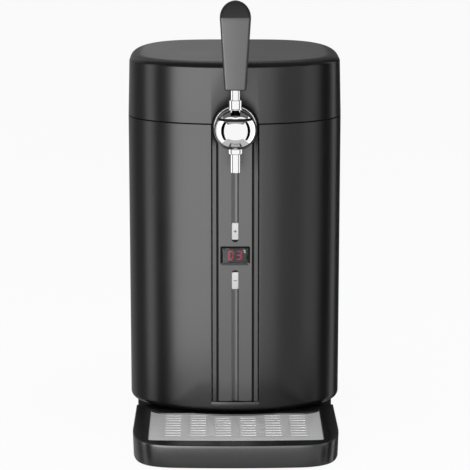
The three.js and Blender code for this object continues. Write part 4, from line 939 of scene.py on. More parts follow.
def in_painted_shade(point):
    """Whether a point of the strip lies in a crease, on the window's rim or at a groove's end, where shade is
    painted.
    """
    if point.y - lean(point.z) < FLOOR_Y + TOUCH:
        return False
    x, up = abs(point.x), point.z - WINDOW_Z
    crease = abs(x - CHANNEL_FLOOR) < (CREASE_WIDTH + TOUCH) / 2
    rim_x, rim_top = (half + RIM_WIDTH + TOUCH for half in WINDOW_HALF)
    rim = x < rim_x and FIT - WINDOW_HALF[1] < up < rim_top
    above = UPPER_END - 1 < point.z < KEYS["plus_button"] - KEY_HALF[1]
    below = KEYS["minus_button"] + KEY_HALF[1] < point.z < LOWER_END + 1
    return crease or rim or (x < GROOVE_HALF and (above or below))


# Painted shade: the creases, the window's rim and the ends of the grooves turn dull black.
channel = paint_shade(dress(front_channel(), channel_black, "front_panel"), in_painted_shade)
print("channel faces:", len(channel.data.polygons))

# %% [markdown]
# ## Keys with their marks
# The two keys are soft white caps with a hair's gap all round. Their plus and minus are printed, so each mark
# is a very thin slip of ink on the cap.

# %% Keys
KEY_PROUD = 0.2
KEY_FLANGE = (CHANNEL_BACK + 0.3, CHANNEL_BACK + 1.5)
MARK_HALF = 2.1
MARK_LINE = 0.85
INK = 0.05
INK_ROOT = 0.1


def ink(name, z, upright):
    """A printed plus or minus, centred on a height."""
    y = (FLOOR_Y - KEY_PROUD - INK, FLOOR_Y - KEY_PROUD + INK_ROOT)
    line = MARK_LINE / 2
    bar = block(name, (-MARK_HALF, MARK_HALF), y, (z - line, z + line))
    if upright:
        join(bar, block(name, (-line, line), y, (z - MARK_HALF, z + MARK_HALF)))
    return bar


def key_cap(node, z):
    low, high = measured(node)
    cap = rounded_box(node + "_cap", *KEY_HALF, (FLOOR_Y - KEY_PROUD, KEY_FLANGE[0]), z, KEY_CORNER)
    join(cap, block("flange", (low[0], high[0]), KEY_FLANGE, (low[2], high[2])))
    return leaned(soften(cap, 0.35, 3))


for node, z in KEYS.items():
    dress(key_cap(node, z), button_white, node)
    mark = leaned(ink(node + "_mark", z, node == "plus_button"))
    dress(smooth(mark), dark_plastic, node, replaces=False)
print("keys:", list(KEYS))

# %% [markdown]
# ## The display
# Two red digits and a small degree sign glow behind a smoked window. Real digits of this kind are seven
# bars each, leaning a little to the right, so a digit is a list of the bars that are lit.

# %% Display
LENS_Y = FLOOR_Y + 1.7
LENS_THICK = 1.6
LENS_BULGE = 1.3
LENS_SIDES = 1440
GLOW_Y = (LENS_Y + 1.7, LENS_Y + 1.85)
READING = "03"
DIGIT_WIDTH = 5.6
DIGIT_HEIGHT = 10.4
DIGIT_BAR = 1.15
BAR_GAP_SHARE = 0.3
DIGIT_SLANT = 0.1
DIGIT_PLACES = (-5.6, 4.9)
LIT = {"0": "abcdef", "3": "abcdg"}
BARS = {"a": (0, 1, 0), "b": (1, 0.5, 1), "c": (1, -0.5, 1), "d": (0, -1, 0), "e": (-1, -0.5, 1),
        "f": (-1, 0.5, 1), "g": (0, 0, 0)}
SIGN_RING = (10.9, 6.4, 0.8, 0.4, 0, 350)
SIGN_LETTER = (12.8, 4.6, 1.6, 0.6, 55, 305)


def digit_bar(x, z, upright):
    """One lit bar: a slim hexagon that leans with the digit."""
    long = (DIGIT_HEIGHT / 4 if upright else DIGIT_WIDTH / 2) - DIGIT_BAR * BAR_GAP_SHARE
    half = DIGIT_BAR / 2
    outline = [(-long, 0), (-long + half, half), (long - half, half), (long, 0), (long - half, -half),
               (-long + half, -half)]
    if upright:
        outline = [(v, u) for u, v in outline]
    outline = [(x + u + DIGIT_SLANT * (z + v), WINDOW_Z + z + v) for u, v in outline]
    return prism("bar", "y", outline, GLOW_Y)


def digits(text):
    bars = []
    for place, letter in zip(DIGIT_PLACES, text):
        for bar in LIT[letter]:
            across, up, upright = BARS[bar]
            bars.append(digit_bar(place + across * DIGIT_WIDTH / 2, up * DIGIT_HEIGHT / 2, upright))
    return merged("digits", bars)


def arc_sign(name, x, up, radius, thick, start, stop, steps=20):
    """A flat arc, for the ring of a degree sign and for the letter beside it."""
    turns = [math.radians(start + (stop - start) * i / steps) for i in range(steps + 1)]
    z = WINDOW_Z + up
    outer, inner = (
        [(x + r * math.cos(turn), z + r * math.sin(turn)) for turn in turns] for r in (radius, radius - thick)
    )
    return prism(name, "y", outer + inner[::-1], GLOW_Y)


def display_lens():
    low, high = measured("display_lens")
    half_x, half_z = high[0], (high[2] - low[2]) / 2
    radius = (half_x**2 + LENS_BULGE**2) / (2 * LENS_BULGE)
    pane = rounded_box("window_pane", half_x, half_z, (LENS_Y, LENS_Y + LENS_THICK), WINDOW_Z, WINDOW_CORNER)
    span = (WINDOW_Z - 2 * half_z, WINDOW_Z + 2 * half_z)
    keep(pane, rod("bulge", "z", radius, span, (0, LENS_Y + radius, 0), LENS_SIDES))
    return leaned(smooth(pane))


dress(display_lens(), window_smoke, "display_lens")
dress(leaned(digits(READING)), digit_red, "display_module", replaces=False)
sign = merged("degree_sign", [arc_sign("ring", *SIGN_RING), arc_sign("letter", *SIGN_LETTER)])
dress(leaned(sign), sign_white, "display_module", replaces=False)
finish_node("display_module", dark_plastic)
print("lit bars:", sum(len(LIT[letter]) for letter in READING))

# %% [markdown]
# ## The tap ball and its bonnet
# The tap is a polished ball, cut flat below for the spout. A separate cap, the bonnet, closes it above the
# pivot, and a slot runs forward through the cap for the lever. Turned profiles keep the sphere exact, and the
# slot is the shape that the stem sweeps from upright to fully pulled. Ball and bonnet meet over a black seal,
# which shows as a dark line, so both are grooved along the joint and the seal lies in the groove. Faces that
# lie deeper than a thin skin, in the slot, the room for the hub and the groove, get a dull black: painted
# shade.

# %% Tap ball
BALL = ball_high[0]
BALL_BOTTOM = ball_low[2]
BALL_TOP = ball_high[2]
BONNET_BOTTOM = BALL_TOP + 0.8
JOINT = math.sqrt(BALL**2 - ((BALL_TOP + BONNET_BOTTOM) / 2 - TAP_Z) ** 2)
JOINT_HALF = 1.15
JOINT_DEPTH = 1.1
SEAL_HALF = 1.1
SEAL_SINK = 0.75
SEAL_EDGES = (0.2, 0.3)
PULL = 30.0
SLOT_X = 5.9
STEM_HALF = 5.2
HUB_ROOM = 8.0
SHANK_HOLE = 7.3
SHANK_DEPTH = 8.8
STUB_HOLE = 6.3
STUB_DEPTH = 5.9
SPIGOT = 17.0
SPIGOT_DEPTH = 3.0
TAP_SIDES = 160
TAP_BEVEL = 0.35
BALL_SKIN = 0.9


def sphere_profile(low, high, radius=BALL, steps=48):
    """(radius, height) pairs of a sphere about the tap's centre, between two heights."""
    first, last = math.asin((low - TAP_Z) / radius), math.asin(min((high - TAP_Z) / radius, 1.0))
    turns = [first + (last - first) * i / steps for i in range(steps + 1)]
    return [(max(radius * math.cos(t), HAIR), TAP_Z + radius * math.sin(t)) for t in turns]


def lever_slot(name):
    reach = BALL + OVERRUN
    pull = math.radians(PULL)
    far = reach / math.cos(pull / 2)
    outline = [
        (TAP_Y + STEM_HALF, TAP_Z),
        (TAP_Y + STEM_HALF, TAP_Z + reach),
        (TAP_Y - far * math.sin(pull / 2), TAP_Z + far * math.cos(pull / 2)),
        (TAP_Y - STEM_HALF * math.cos(pull) - reach * math.sin(pull),
         TAP_Z - STEM_HALF * math.sin(pull) + reach * math.cos(pull)),
        (TAP_Y - STEM_HALF * math.cos(pull), TAP_Z - STEM_HALF * math.sin(pull)),
    ]
    return prism(name, "x", outline, (-SLOT_X, SLOT_X))


def hub_room(name):
    return rod(name, "x", HUB_ROOM, (-SLOT_X, SLOT_X), (0, TAP_Y, TAP_Z), 64)


def joint_groove():
    """A shallow groove round the joint of ball and bonnet."""
    low, high, inner = BALL_TOP - JOINT_HALF, BONNET_BOTTOM + JOINT_HALF, JOINT - JOINT_DEPTH
    profile = [(inner, low), (BALL, low), (BALL, high), (inner, high)]
    return turned("groove", profile + profile[:1], (0, TAP_Y, 0), sides=TAP_SIDES)


def tap_ball():
    profile = sphere_profile(BALL_BOTTOM, BALL_TOP)
    profile = [(profile[0][0] - EDGE, BALL_BOTTOM)] + profile + [(profile[-1][0] - EDGE, BALL_TOP)]
    ball = turned("ball", profile, (0, TAP_Y, 0), sides=TAP_SIDES)
    socket = rod("socket", "y", SHANK_HOLE, (TAP_Y + BALL - SHANK_DEPTH, WIDEST), (0, 0, TAP_Z), 48)
    stub = rod("stub", "z", STUB_HOLE, (BALL_BOTTOM - OVERRUN, BALL_BOTTOM + STUB_DEPTH), (0, TAP_Y, 0), 48)
    cut(ball, lever_slot("slot"), hub_room("room"), socket, stub, joint_groove())
    return soften(ball, TAP_BEVEL, 3)


def tap_bonnet():
    profile = sphere_profile(BONNET_BOTTOM, TAP_Z + BALL)
    profile = [(profile[0][0] - EDGE, BONNET_BOTTOM)] + profile
    bonnet = turned("bonnet", profile, (0, TAP_Y, 0), sides=TAP_SIDES)
    reach = (BALL_TOP - SPIGOT_DEPTH, BONNET_BOTTOM + 0.5)
    join(bonnet, rod("spigot", "z", SPIGOT, reach, (0, TAP_Y, 0), 96))
    cut(bonnet, lever_slot("slot"), hub_room("room"), joint_groove())
    return soften(bonnet, TAP_BEVEL, 3)


def joint_ring():
    """The black seal that shows in the groove."""
    low, high = BALL_TOP - SEAL_HALF, BONNET_BOTTOM + SEAL_HALF
    inner, outer = JOINT - JOINT_DEPTH + JOINT_HALF - SEAL_HALF, JOINT - SEAL_SINK
    across, up = SEAL_EDGES
    profile = [(inner, low), (outer - across, low), (outer, low + up)]
    profile += [(outer, high - up), (outer - across, high), (inner, high)]
    ring = turned("joint_ring", profile + profile[:1], (0, TAP_Y, 0), sides=TAP_SIDES)
    return smooth(cut(ring, lever_slot("slot")))


TAP_CENTRE = (0.0, TAP_Y, TAP_Z)
# Painted shade: faces deeper than BALL_SKIN under the surface of ball and bonnet turn dull black.
paint_shade(dress(tap_ball(), chrome, "tap_ball"), within(TAP_CENTRE, BALL - BALL_SKIN))
paint_shade(dress(tap_bonnet(), chrome, "tap_bonnet"), within(TAP_CENTRE, BALL - BALL_SKIN))
dress(joint_ring(), black_and_painted_shade, "tap_ball", replaces=False)
print("ball", round(2 * BALL, 1), "mm across, bonnet starts at", round(BONNET_BOTTOM, 1))

# %% [markdown]
# ## Flange, seal and spout
# Behind the ball a round flange presses a rubber seal against the bulkhead, and below it hangs the spout with
# its collar. All three are turned pieces. The front of the flange is dished to fit round the ball, and all of
# the flange inside a thin chrome rim is painted dull black, a painted shade that draws the dark line where
# the two chrome surfaces meet.

# %% Flange and spout
FLANGE = flange_high[0]
FLANGE_FRONT = flange_low[1]
FLANGE_BACK = flange_high[1]
FLANGE_ROUND = 1.5
FLANGE_BACK_EDGE = 0.4
FLANGE_SKIN = 1.3
SPOUT = 6.4
SPOUT_BORE = 2.4
SPOUT_MOUTH = 4.4
MOUTH_DEPTH = 5.0
COLLAR = 9.2
COLLAR_HEIGHT = 6.9
COLLAR_ROUNDS = (1.7, 0.6)
STUB = 6.0


def arc(centre, radius, start, stop, steps=8):
    """Points of an arc in a profile, by angles in degrees from the radius axis."""
    turns = [math.radians(start + (stop - start) * i / steps) for i in range(steps + 1)]
    return [(centre[0] + radius * math.cos(t), centre[1] + radius * math.sin(t)) for t in turns]


def tap_flange():
    dish = BALL + FIT
    mouth = math.sqrt(dish**2 - (FLANGE_FRONT - TAP_Y) ** 2)
    profile = []
    for i in range(9):
        radius = SHANK_HOLE + (mouth - SHANK_HOLE) * i / 8
        profile.append((radius, TAP_Y + math.sqrt(dish**2 - radius**2)))
    profile.append((FLANGE - FLANGE_ROUND - EDGE, FLANGE_FRONT))
    profile += arc((FLANGE - FLANGE_ROUND, FLANGE_FRONT + FLANGE_ROUND), FLANGE_ROUND, -90, 0)
    profile += [(FLANGE, FLANGE_BACK - FLANGE_BACK_EDGE), (FLANGE - FLANGE_BACK_EDGE, FLANGE_BACK)]
    profile.append((SHANK_HOLE, FLANGE_BACK))
    return smooth(turned("flange", profile + profile[:1], (0, 0, TAP_Z), "y", TAP_SIDES))


def tap_seal():
    low, high = measured("tap_seal")
    radius, front, back = high[0], low[1], high[1]
    profile = [(SHANK_HOLE, front), (radius - FIT, front), (radius, front + FIT)]
    profile += [(radius, back - FIT), (radius - FIT, back), (SHANK_HOLE, back)]
    return smooth(turned("seal_disc", profile + profile[:1], (0, 0, TAP_Z), "y", 96))


def spout():
    low, high = measured("spout")
    tip, top = low[2], high[2]
    collar_top = BALL_BOTTOM - FIT
    collar_bottom = collar_top - COLLAR_HEIGHT
    wide, narrow = COLLAR_ROUNDS
    profile = [(SPOUT_BORE, tip + MOUTH_DEPTH + 1), (SPOUT_MOUTH, tip + MOUTH_DEPTH)]
    profile += [(SPOUT_MOUTH, tip + 0.3), (SPOUT_MOUTH + 0.3, tip), (SPOUT - 0.5, tip)]
    profile += arc((SPOUT - 0.4, tip + 0.4), 0.4, -90, 0, 4)
    profile += [(SPOUT, collar_bottom - 0.2), (SPOUT + 0.2, collar_bottom)]
    profile.append((COLLAR - wide - 0.3, collar_bottom))
    profile += arc((COLLAR - wide, collar_bottom + wide), wide, -90, 0)
    profile += arc((COLLAR - narrow, collar_top - narrow), narrow, 0, 90, 4)
    profile += [(STUB, collar_top), (STUB, top), (SPOUT_BORE, top)]
    return smooth(turned("spout_tube", profile + profile[:1], (0, TAP_Y, 0), sides=96))


# Painted shade: every face of the flange nearer the axis than its outer rim turns dull black.
flange_painted_shade = within((0.0, 0.0, TAP_Z), FLANGE - FLANGE_SKIN, axes=(0, 2))
paint_shade(dress(tap_flange(), chrome, "tap_flange"), flange_painted_shade)
dress(tap_seal(), rubber, "tap_seal")
dress(spout(), chrome, "spout")
print("flange", round(2 * FLANGE, 1), "mm across, spout", 2 * SPOUT)

# %% [markdown]
# ## The lever
# The lever has a chrome stem with a flared collar over the slot in the ball, and a moulded grip that widens
# upwards like a paddle. The grip is a stack of rounded rectangles: their width grows in a straight line, and
# near the top they close in along an ellipse while the front sweeps back.

# %% Lever stem
STEM = 4.5
LEVER_SEAT = 9.0
LEVER_COLLAR = 8.0
LEVER_FLARE = [(8.95, 25.9), (8.5, 26.6), (8.15, 27.3), (LEVER_COLLAR, 28.2)]
LEVER_ROD = 5.9
TANG = 4.0
LEVER_HUB = (7.0, 5.6)
PIN_HOLE = 1.9
COLLAR_TOP = TAP_Z + 37.7
GRIP_LOW = TAP_Z + 50.1


def lever_stem():
    top = measured("lever_hub")[1][2]
    dish = BALL + FIT
    seat = [STEM + (LEVER_SEAT - STEM) * i / 6 for i in range(7)]
    profile = [(HAIR, TAP_Z), (STEM, TAP_Z)] + [(r, TAP_Z + math.sqrt(dish**2 - r**2)) for r in seat]
    profile += [(r, TAP_Z + up) for r, up in LEVER_FLARE]
    profile += arc((LEVER_COLLAR - 1, COLLAR_TOP - 1), 1, 0, 90, 6)
    profile += [(LEVER_ROD + 0.1, COLLAR_TOP), (LEVER_ROD, COLLAR_TOP + 0.1), (LEVER_ROD, GRIP_LOW - FIT)]
    profile += [(TANG, GRIP_LOW - FIT), (TANG, top), (HAIR, top)]
    stem = turned("stem", profile, (0, TAP_Y, 0), sides=96)
    radius, half = LEVER_HUB
    join(stem, rod("hub", "x", radius, (-half, half), (0, TAP_Y, TAP_Z), 64))
    cut(stem, rod("pin_hole", "x", PIN_HOLE, (-half - OVERRUN, half + OVERRUN), (0, TAP_Y, TAP_Z), 24))
    return smooth(tidy(stem))


# Painted shade: the hub and the foot of the stem, inside the ball, turn dull black.
paint_shade(dress(lever_stem(), chrome, "lever_hub"), within(TAP_CENTRE, BALL - EDGE))
print("stem made, collar up to", round(COLLAR_TOP, 1))

# %% Lever grip
GRIP_HEIGHT = 110.8
GRIP_WIDTHS = (27.3, 38.8)
GRIP_WIDEST_SHARE = 0.81
GRIP_FRONT = -8.5
GRIP_THICK = 15.0
GRIP_SWEEP = 9.0
GRIP_EDGE = 3.4
GRIP_FOOT = 1.7
GRIP_SOCKET = 18.3
CORNER_STEPS = 8


def grip_ring(height, width, front, back):
    """A rounded rectangle: the section of the grip at one height."""
    radius = min(GRIP_EDGE, width / 3, (back - front) / 3)
    points = []
    for sx, sy, start in ((1, 1, 0), (-1, 1, 90), (-1, -1, 180), (1, -1, 270)):
        cx = sx * (width / 2 - radius)
        cy = (back if sy > 0 else front) - sy * radius
        for i in range(CORNER_STEPS + 1):
            turn = math.radians(start + 90 * i / CORNER_STEPS)
            x, y = cx + radius * math.cos(turn), TAP_Y + cy + radius * math.sin(turn)
            points.append((x, y, GRIP_LOW + height))
    return points


def lever_grip():
    widest, foot = GRIP_HEIGHT * GRIP_WIDEST_SHARE, GRIP_FOOT
    rings = []
    for i in range(6):
        turn = math.radians(90 * i / 5)
        draw = foot * (1 - math.sin(turn))
        rings.append(grip_ring(foot * (1 - math.cos(turn)), GRIP_WIDTHS[0] - 2 * draw, GRIP_FRONT + draw,
                               GRIP_FRONT + GRIP_THICK - draw))
    for i in range(1, 13):
        share = i / 12
        width = GRIP_WIDTHS[0] + (GRIP_WIDTHS[1] - GRIP_WIDTHS[0]) * share
        rings.append(grip_ring(foot + (widest - foot) * share, width, GRIP_FRONT, GRIP_FRONT + GRIP_THICK))
    for i in range(1, 24):
        share = math.sin(math.radians(90 * i / 24))
        narrow = math.sqrt(1 - share**2)
        sweep = GRIP_SWEEP * share
        rings.append(grip_ring(widest + (GRIP_HEIGHT - widest) * share, GRIP_WIDTHS[1] * narrow,
                               GRIP_FRONT + sweep, GRIP_FRONT + GRIP_THICK + sweep / 2))
    grip = skin("grip", rings)
    cut(grip, rod("socket", "z", TANG + FIT, (GRIP_LOW - OVERRUN, GRIP_LOW + GRIP_SOCKET), (0, TAP_Y, 0), 48))
    return smooth(tidy(grip), 40)


dress(lever_grip(), grip_grey, "lever_grip")
print("grip", GRIP_HEIGHT, "mm tall")

# %% [markdown]
# ## The drip tray
# The tray bows forward, with tight front corners, and slides on two rails under the cabinet. Its outline is
# one closed curve: straight rear and sides, a Bezier round each corner, and an arc for the front. The grille
# has an outline of its own inside it, whose rear edge follows the cabinet's wall.

# %% Tray outlines
TRAY_HALF = tray_high[0]
TRAY_REAR_HALF = TRAY_HALF - 1.0
TRAY_FRONT = tray_low[1]
TRAY_REAR = tray_high[1]
FRONT_RADIUS = 1100.0
SIDE_END = WIDEST - 170.0
CORNER_SIDE = 50.0
CORNER_FRONT = 50.0
CORNER_SHARE = 0.58
FRONT_STEPS = 48
GRILLE_HALF = grille_high[0]
CURVE_STEPS = 24


def bezier(*controls, steps=CURVE_STEPS):
    """Points of a Bezier curve with any number of control points, without its first point."""
    points = []
    for i in range(1, steps + 1):
        t = i / steps
        level = [np.array(c, dtype=float) for c in controls]
        while len(level) > 1:
            level = [a * (1 - t) + b * t for a, b in zip(level, level[1:])]
        points.append(tuple(level[0]))
    return points


def tray_outline(inset):
    half, radius = TRAY_HALF - inset, FRONT_RADIUS - inset
    centre = TRAY_FRONT + FRONT_RADIUS
    corner = half * CORNER_SHARE
    drop = math.sqrt(radius**2 - corner**2)
    slope = corner / drop
    mouth = (-corner - CORNER_FRONT, centre - drop + slope * CORNER_FRONT)
    points = [(TRAY_REAR_HALF - inset, TRAY_REAR - inset), (-TRAY_REAR_HALF + inset, TRAY_REAR - inset),
              (-half, SIDE_END)]
    points += bezier((-half, SIDE_END), (-half, SIDE_END - CORNER_SIDE), mouth, (-corner, centre - drop))
    start = math.asin(corner / radius)
    for i in range(1, FRONT_STEPS + 1):
        turn = -start + 2 * start * i / FRONT_STEPS
        points.append((radius * math.sin(turn), centre - radius * math.cos(turn)))
    side = (half, SIDE_END - CORNER_SIDE)
    points += bezier((corner, centre - drop), (-mouth[0], mouth[1]), side, (half, SIDE_END))
    return points


print("tray outline points:", len(tray_outline(0)))

# %% Grille outlines
REAR_DROP = 97.5
REAR_EDGE = WIDEST - REAR_DROP
SHOULDER = [(GRILLE_HALF, WIDEST - 80), (GRILLE_HALF - 4.6, WIDEST - 93), (GRILLE_HALF - 20.6, REAR_EDGE)]
BODY_GAP = 1.7
BOW_SIDE = WIDEST - 226.0
BOW_EDGE = WIDEST - 232.1
BOW_MIDDLE = WIDEST - 238.3
BOW_CORNER = GRILLE_HALF - 8.6
BASIN_LEDGE = 4.0


def bowed_front(grow):
    """Left side, rounded front corners, bowed front edge and right side of the grille."""
    half, corner, side = GRILLE_HALF + grow, BOW_CORNER, BOW_SIDE
    edge, bow = BOW_EDGE - grow, BOW_MIDDLE - grow
    points = [(-half, side)]
    points += bezier((-half, side), (-half, edge), (-corner, edge))
    points += bezier((-corner, edge), (0, bow), (corner, edge))
    points += bezier((corner, edge), (half, edge), (half, side))
    return points


def shoulder(grow):
    """Right rear corner of the grille, moved outwards by a true offset."""
    curve = np.array([SHOULDER[0]] + bezier(*SHOULDER))
    along = np.gradient(curve, axis=0)
    along /= np.linalg.norm(along, axis=1)[:, None]
    moved = curve + np.stack((along[:, 1], -along[:, 0]), axis=1) * grow
    return [(GRILLE_HALF + grow, SHOULDER[0][1] + grow)] + [tuple(p) for p in moved]


def grille_outline(grow):
    gap = BODY_GAP - grow
    ratio = (REAR_DROP - grow) / (FRONT_DEPTH + gap)
    notch = (HALF_WIDTH + gap) * (1 - ratio ** (2 / FRONT_ROUND)) ** (FRONT_ROUND / 2)
    right = shoulder(grow)
    left = [(-x, y) for x, y in right[::-1]]
    middle = [(x, front_face(x, -gap)) for x in np.linspace(notch, -notch, CURVE_STEPS + 1)]
    return right + middle + left + bowed_front(grow)


def basin_outline(inset):
    half, rear = GRILLE_HALF - BASIN_LEDGE - inset, REAR_EDGE - BASIN_LEDGE
    return [(half, rear), (-half, rear)] + bowed_front(-BASIN_LEDGE - inset)


print("grille outline points:", len(grille_outline(0)))

# %% Tray and grille
TRAY_TOP = tray_high[2]
TRAY_BOTTOM = tray_low[2]
GRILLE_TOP = grille_high[2]
GRILLE_BOTTOM = grille_low[2]
TRAY_FOOT = [(TRAY_BOTTOM, 2.5), (TRAY_BOTTOM + 0.3, 1.6), (TRAY_BOTTOM + 1.5, 1.0), (TRAY_TOP - 4, 0.1)]
POCKET_GAP = 0.5
BASIN_FLOOR = 9.2
RIM = 1.2
RAIL_X = 60.0
RAIL_ROOM_HALF = 6.5
RAIL_ROOM_Y = (-126.5, 30)
RAIL_ROOM_Z = (0, 5.7)
SLOT_ACROSS = 31.5
SLOT_ALONG = 12.4
SLOT_COLUMNS = 6
SLOT_ROWS = 9
SLOT_SECTION = (1.2, 10.2)
FIRST_ROW = WIDEST - 205.0


def drip_tray():
    tray = stack("tray", tray_outline, TRAY_FOOT + rounded(TRAY_TOP, 0.0, RIM, up=True, steps=5))
    levels = (GRILLE_BOTTOM - FIT, TRAY_TOP + OVERRUN)
    pocket = stack("pocket", grille_outline, [(z, POCKET_GAP) for z in levels])
    basin = stack("basin", basin_outline, [(BASIN_FLOOR, 0), (GRILLE_BOTTOM, 0)])
    cut(tray, pocket, basin)
    for x in (-RAIL_X, RAIL_X):
        cut(tray, block("rail", (x - RAIL_ROOM_HALF, x + RAIL_ROOM_HALF), RAIL_ROOM_Y, RAIL_ROOM_Z))
    return soften(tray, 0.5, 3)


def drip_grille():
    plate = stack("grille_plate", grille_outline, [(GRILLE_BOTTOM, 0), (GRILLE_TOP, 0)])
    slots = []
    for column in range(SLOT_COLUMNS):
        x = (column - (SLOT_COLUMNS - 1) / 2) * SLOT_ACROSS
        rows = SLOT_ROWS - (1 if abs(x) < SLOT_ACROSS else 0)
        for row in range(rows):
            y = FIRST_ROW + row * SLOT_ALONG
            outline = [(x + v, y - u) for u, v in stadium(*SLOT_SECTION)]
            slots.append(prism("slot", "z", outline, (GRILLE_BOTTOM - OVERRUN, GRILLE_TOP + OVERRUN)))
    cut(plate, merged("slots", slots))
    return soften(plate, 0.3)


dress(drip_tray(), tray_black, "drip_tray")
dress(drip_grille(), grille_steel, "drip_grille")
print("grille slots:", SLOT_COLUMNS * SLOT_ROWS - 2)

# %% [markdown]
# ## Plinth and feet
# Under the shell sits a hollow plinth, drawn in so that the cabinet seems to float. It carries two rails for
# the tray and four rubber feet. It is one stack with its underside taken out except for a boss over each
# foot, and its top plate and the rails are joined on.

# %% Plinth and feet
PLINTH_INSET = 10.0
PLINTH_BOTTOM = 3.0
PLINTH_TOP = FLOOR - FIT
PLINTH_FRONT = WIDEST - 47.0
PLINTH_WALL = 3.0
PLINTH_PLATE = 3.2
PLATE_LOW = TRAY_TOP + 1.3
BOSS = 11.0
RAIL_HALF = 6.0
RAIL_TOP = 5.4
FOOT_ROUND = 0.9
FOOT_EDGE = 0.2
FEET = ["foot_front_left", "foot_front_right", "foot_rear_left", "foot_rear_right"]


def middle_of(node):
    low, high = measured(node)
    return (low + high) / 2


def behind(front):
    """Everything under the shell from a front plane to the rear."""
    return block("behind", (-HALF_WIDTH, HALF_WIDTH), (front, BEHIND), (0, FLOOR))


def plinth():
    low = measured("base_plinth")[0]
    levels = [(PLINTH_BOTTOM, PLINTH_INSET + EDGE), (PLINTH_BOTTOM + EDGE, PLINTH_INSET)]
    tub = stack("plinth", cabinet_outline, levels + [(PLINTH_TOP, PLINTH_INSET)])
    keep(tub, behind(PLINTH_FRONT))
    levels = (PLINTH_BOTTOM - OVERRUN, PLINTH_TOP - PLINTH_PLATE)
    inside = stack("inside", cabinet_outline, [(z, PLINTH_INSET + PLINTH_WALL) for z in levels])
    keep(inside, behind(PLINTH_FRONT + PLINTH_WALL))
    for foot in FEET:
        x, y, _ = middle_of(foot)
        cut(inside, rod("boss", "z", BOSS, (0, FLOOR), (x, y, 0), 48))
    cut(tub, inside)
    join(tub, stack("plate", cabinet_outline, [(z, FLOOR_FLANGE + FIT) for z in (PLATE_LOW, PLATE_TOP)]))
    for x in (-RAIL_X, RAIL_X):
        reach = (low[1], PLINTH_FRONT + PLINTH_WALL)
        join(tub, block("rail", (x - RAIL_HALF, x + RAIL_HALF), reach, (low[2], RAIL_TOP)))
    return soften(tub)


def rubber_foot(node):
    low, high = measured(node)
    x, y, _ = middle_of(node)
    radius, bottom, top = (high[0] - low[0]) / 2, low[2], high[2]
    profile = [(HAIR, bottom), (radius - FOOT_ROUND - FIT, bottom)]
    profile += arc((radius - FOOT_ROUND, bottom + FOOT_ROUND), FOOT_ROUND, -90, 0, 5)
    profile += [(radius, top - FOOT_EDGE), (radius - FOOT_EDGE, top), (HAIR, top)]
    return smooth(turned(node + "_pad", profile, (x, y, 0), sides=64))


# The plinth takes the dullest black, a painted shade for its place in the shadow under the cabinet.
dress(plinth(), black_and_painted_shade, "base_plinth")
for node in FEET:
    dress(rubber_foot(node), rubber, node)
print("feet:", len(FEET))

# %% [markdown]
# ## Under the lid
# Opening the lid shows the deck, a lip that the lid closes over, and the mouth of the cooling chamber. In
# front the deck rises into the round bulkhead that carries the tap, and that disc also fills the arch behind
# the ball, so it matters in the closed view too.

# %% Deck and chamber
DECK_TOP = SEAM - 16.5
DECK_BOTTOM = measured("deck_ring")[0][2]
LIP_TOP = SEAM + 3.5
LIP_INSET = WALL + 0.5
LIP_THICK = 2.0
CHAMBER_Y = middle_of("cooling_chamber")[1]
CHAMBER = 90.0
CHAMBER_GAP = 0.5
CHAMBER_SHEET = 1.5
CHAMBER_CORNER = 6.0
CHAMBER_FLANGE = 7.0
CHAMBER_SIDES = 192
RIM_ROUND = 1.2
GASKET_ROUND = 0.8
BULKHEAD = (WIDEST - 99.0, WIDEST - 90.0)
NECK_HALF = 24.0
NECK_LAP = 4.0
NUT_ROOM = 11.5


def deck_ring():
    below, above = DECK_BOTTOM - OVERRUN, LIP_TOP + OVERRUN
    shelf = stack("shelf", cabinet_outline, [(z, WALL + FIT) for z in (DECK_BOTTOM, DECK_TOP)])
    mouth = (below, DECK_TOP + OVERRUN)
    cut(shelf, rod("mouth", "z", CHAMBER + CHAMBER_GAP, mouth, (0, CHAMBER_Y, 0), CHAMBER_SIDES))
    lip = stack("lip", cabinet_outline, [(z, LIP_INSET) for z in (DECK_BOTTOM, LIP_TOP)])
    cut(lip, stack("room", cabinet_outline, [(z, LIP_INSET + LIP_THICK) for z in (below, above)]))
    join(shelf, lip)
    face = CHANNEL_BACK + 0.5
    cut(shelf, block("slot", (-ARCH, ARCH), (FRONT, face), (below, above)))
    disc = rod("bulkhead", "y", ARCH - EDGE, BULKHEAD, (0, 0, TAP_Z), TAP_SIDES)
    cut(disc, block("below", (-ARCH, ARCH), (FRONT, WIDEST), (0, DECK_BOTTOM)))
    skirt = block("skirt", (-ARCH, ARCH), (FRONT, face), (0, DECK_TOP))
    cut(disc, cut(skirt, arch_cut(WIDEST)))
    reach = (BULKHEAD[1] - NECK_LAP, BULKHEAD[1] + NECK_LAP)
    join(disc, block("neck", (-NECK_HALF, NECK_HALF), reach, (DECK_BOTTOM, DECK_TOP + NECK_LAP)))
    join(shelf, disc)
    hole = rod("hole", "y", SHANK_HOLE, (FRONT, WIDEST), (0, 0, TAP_Z), 48)
    cut(shelf, hole, rod("nut_room", "y", NUT_ROOM, (BULKHEAD[1], WIDEST), (0, 0, TAP_Z), 48))
    return soften(shelf)


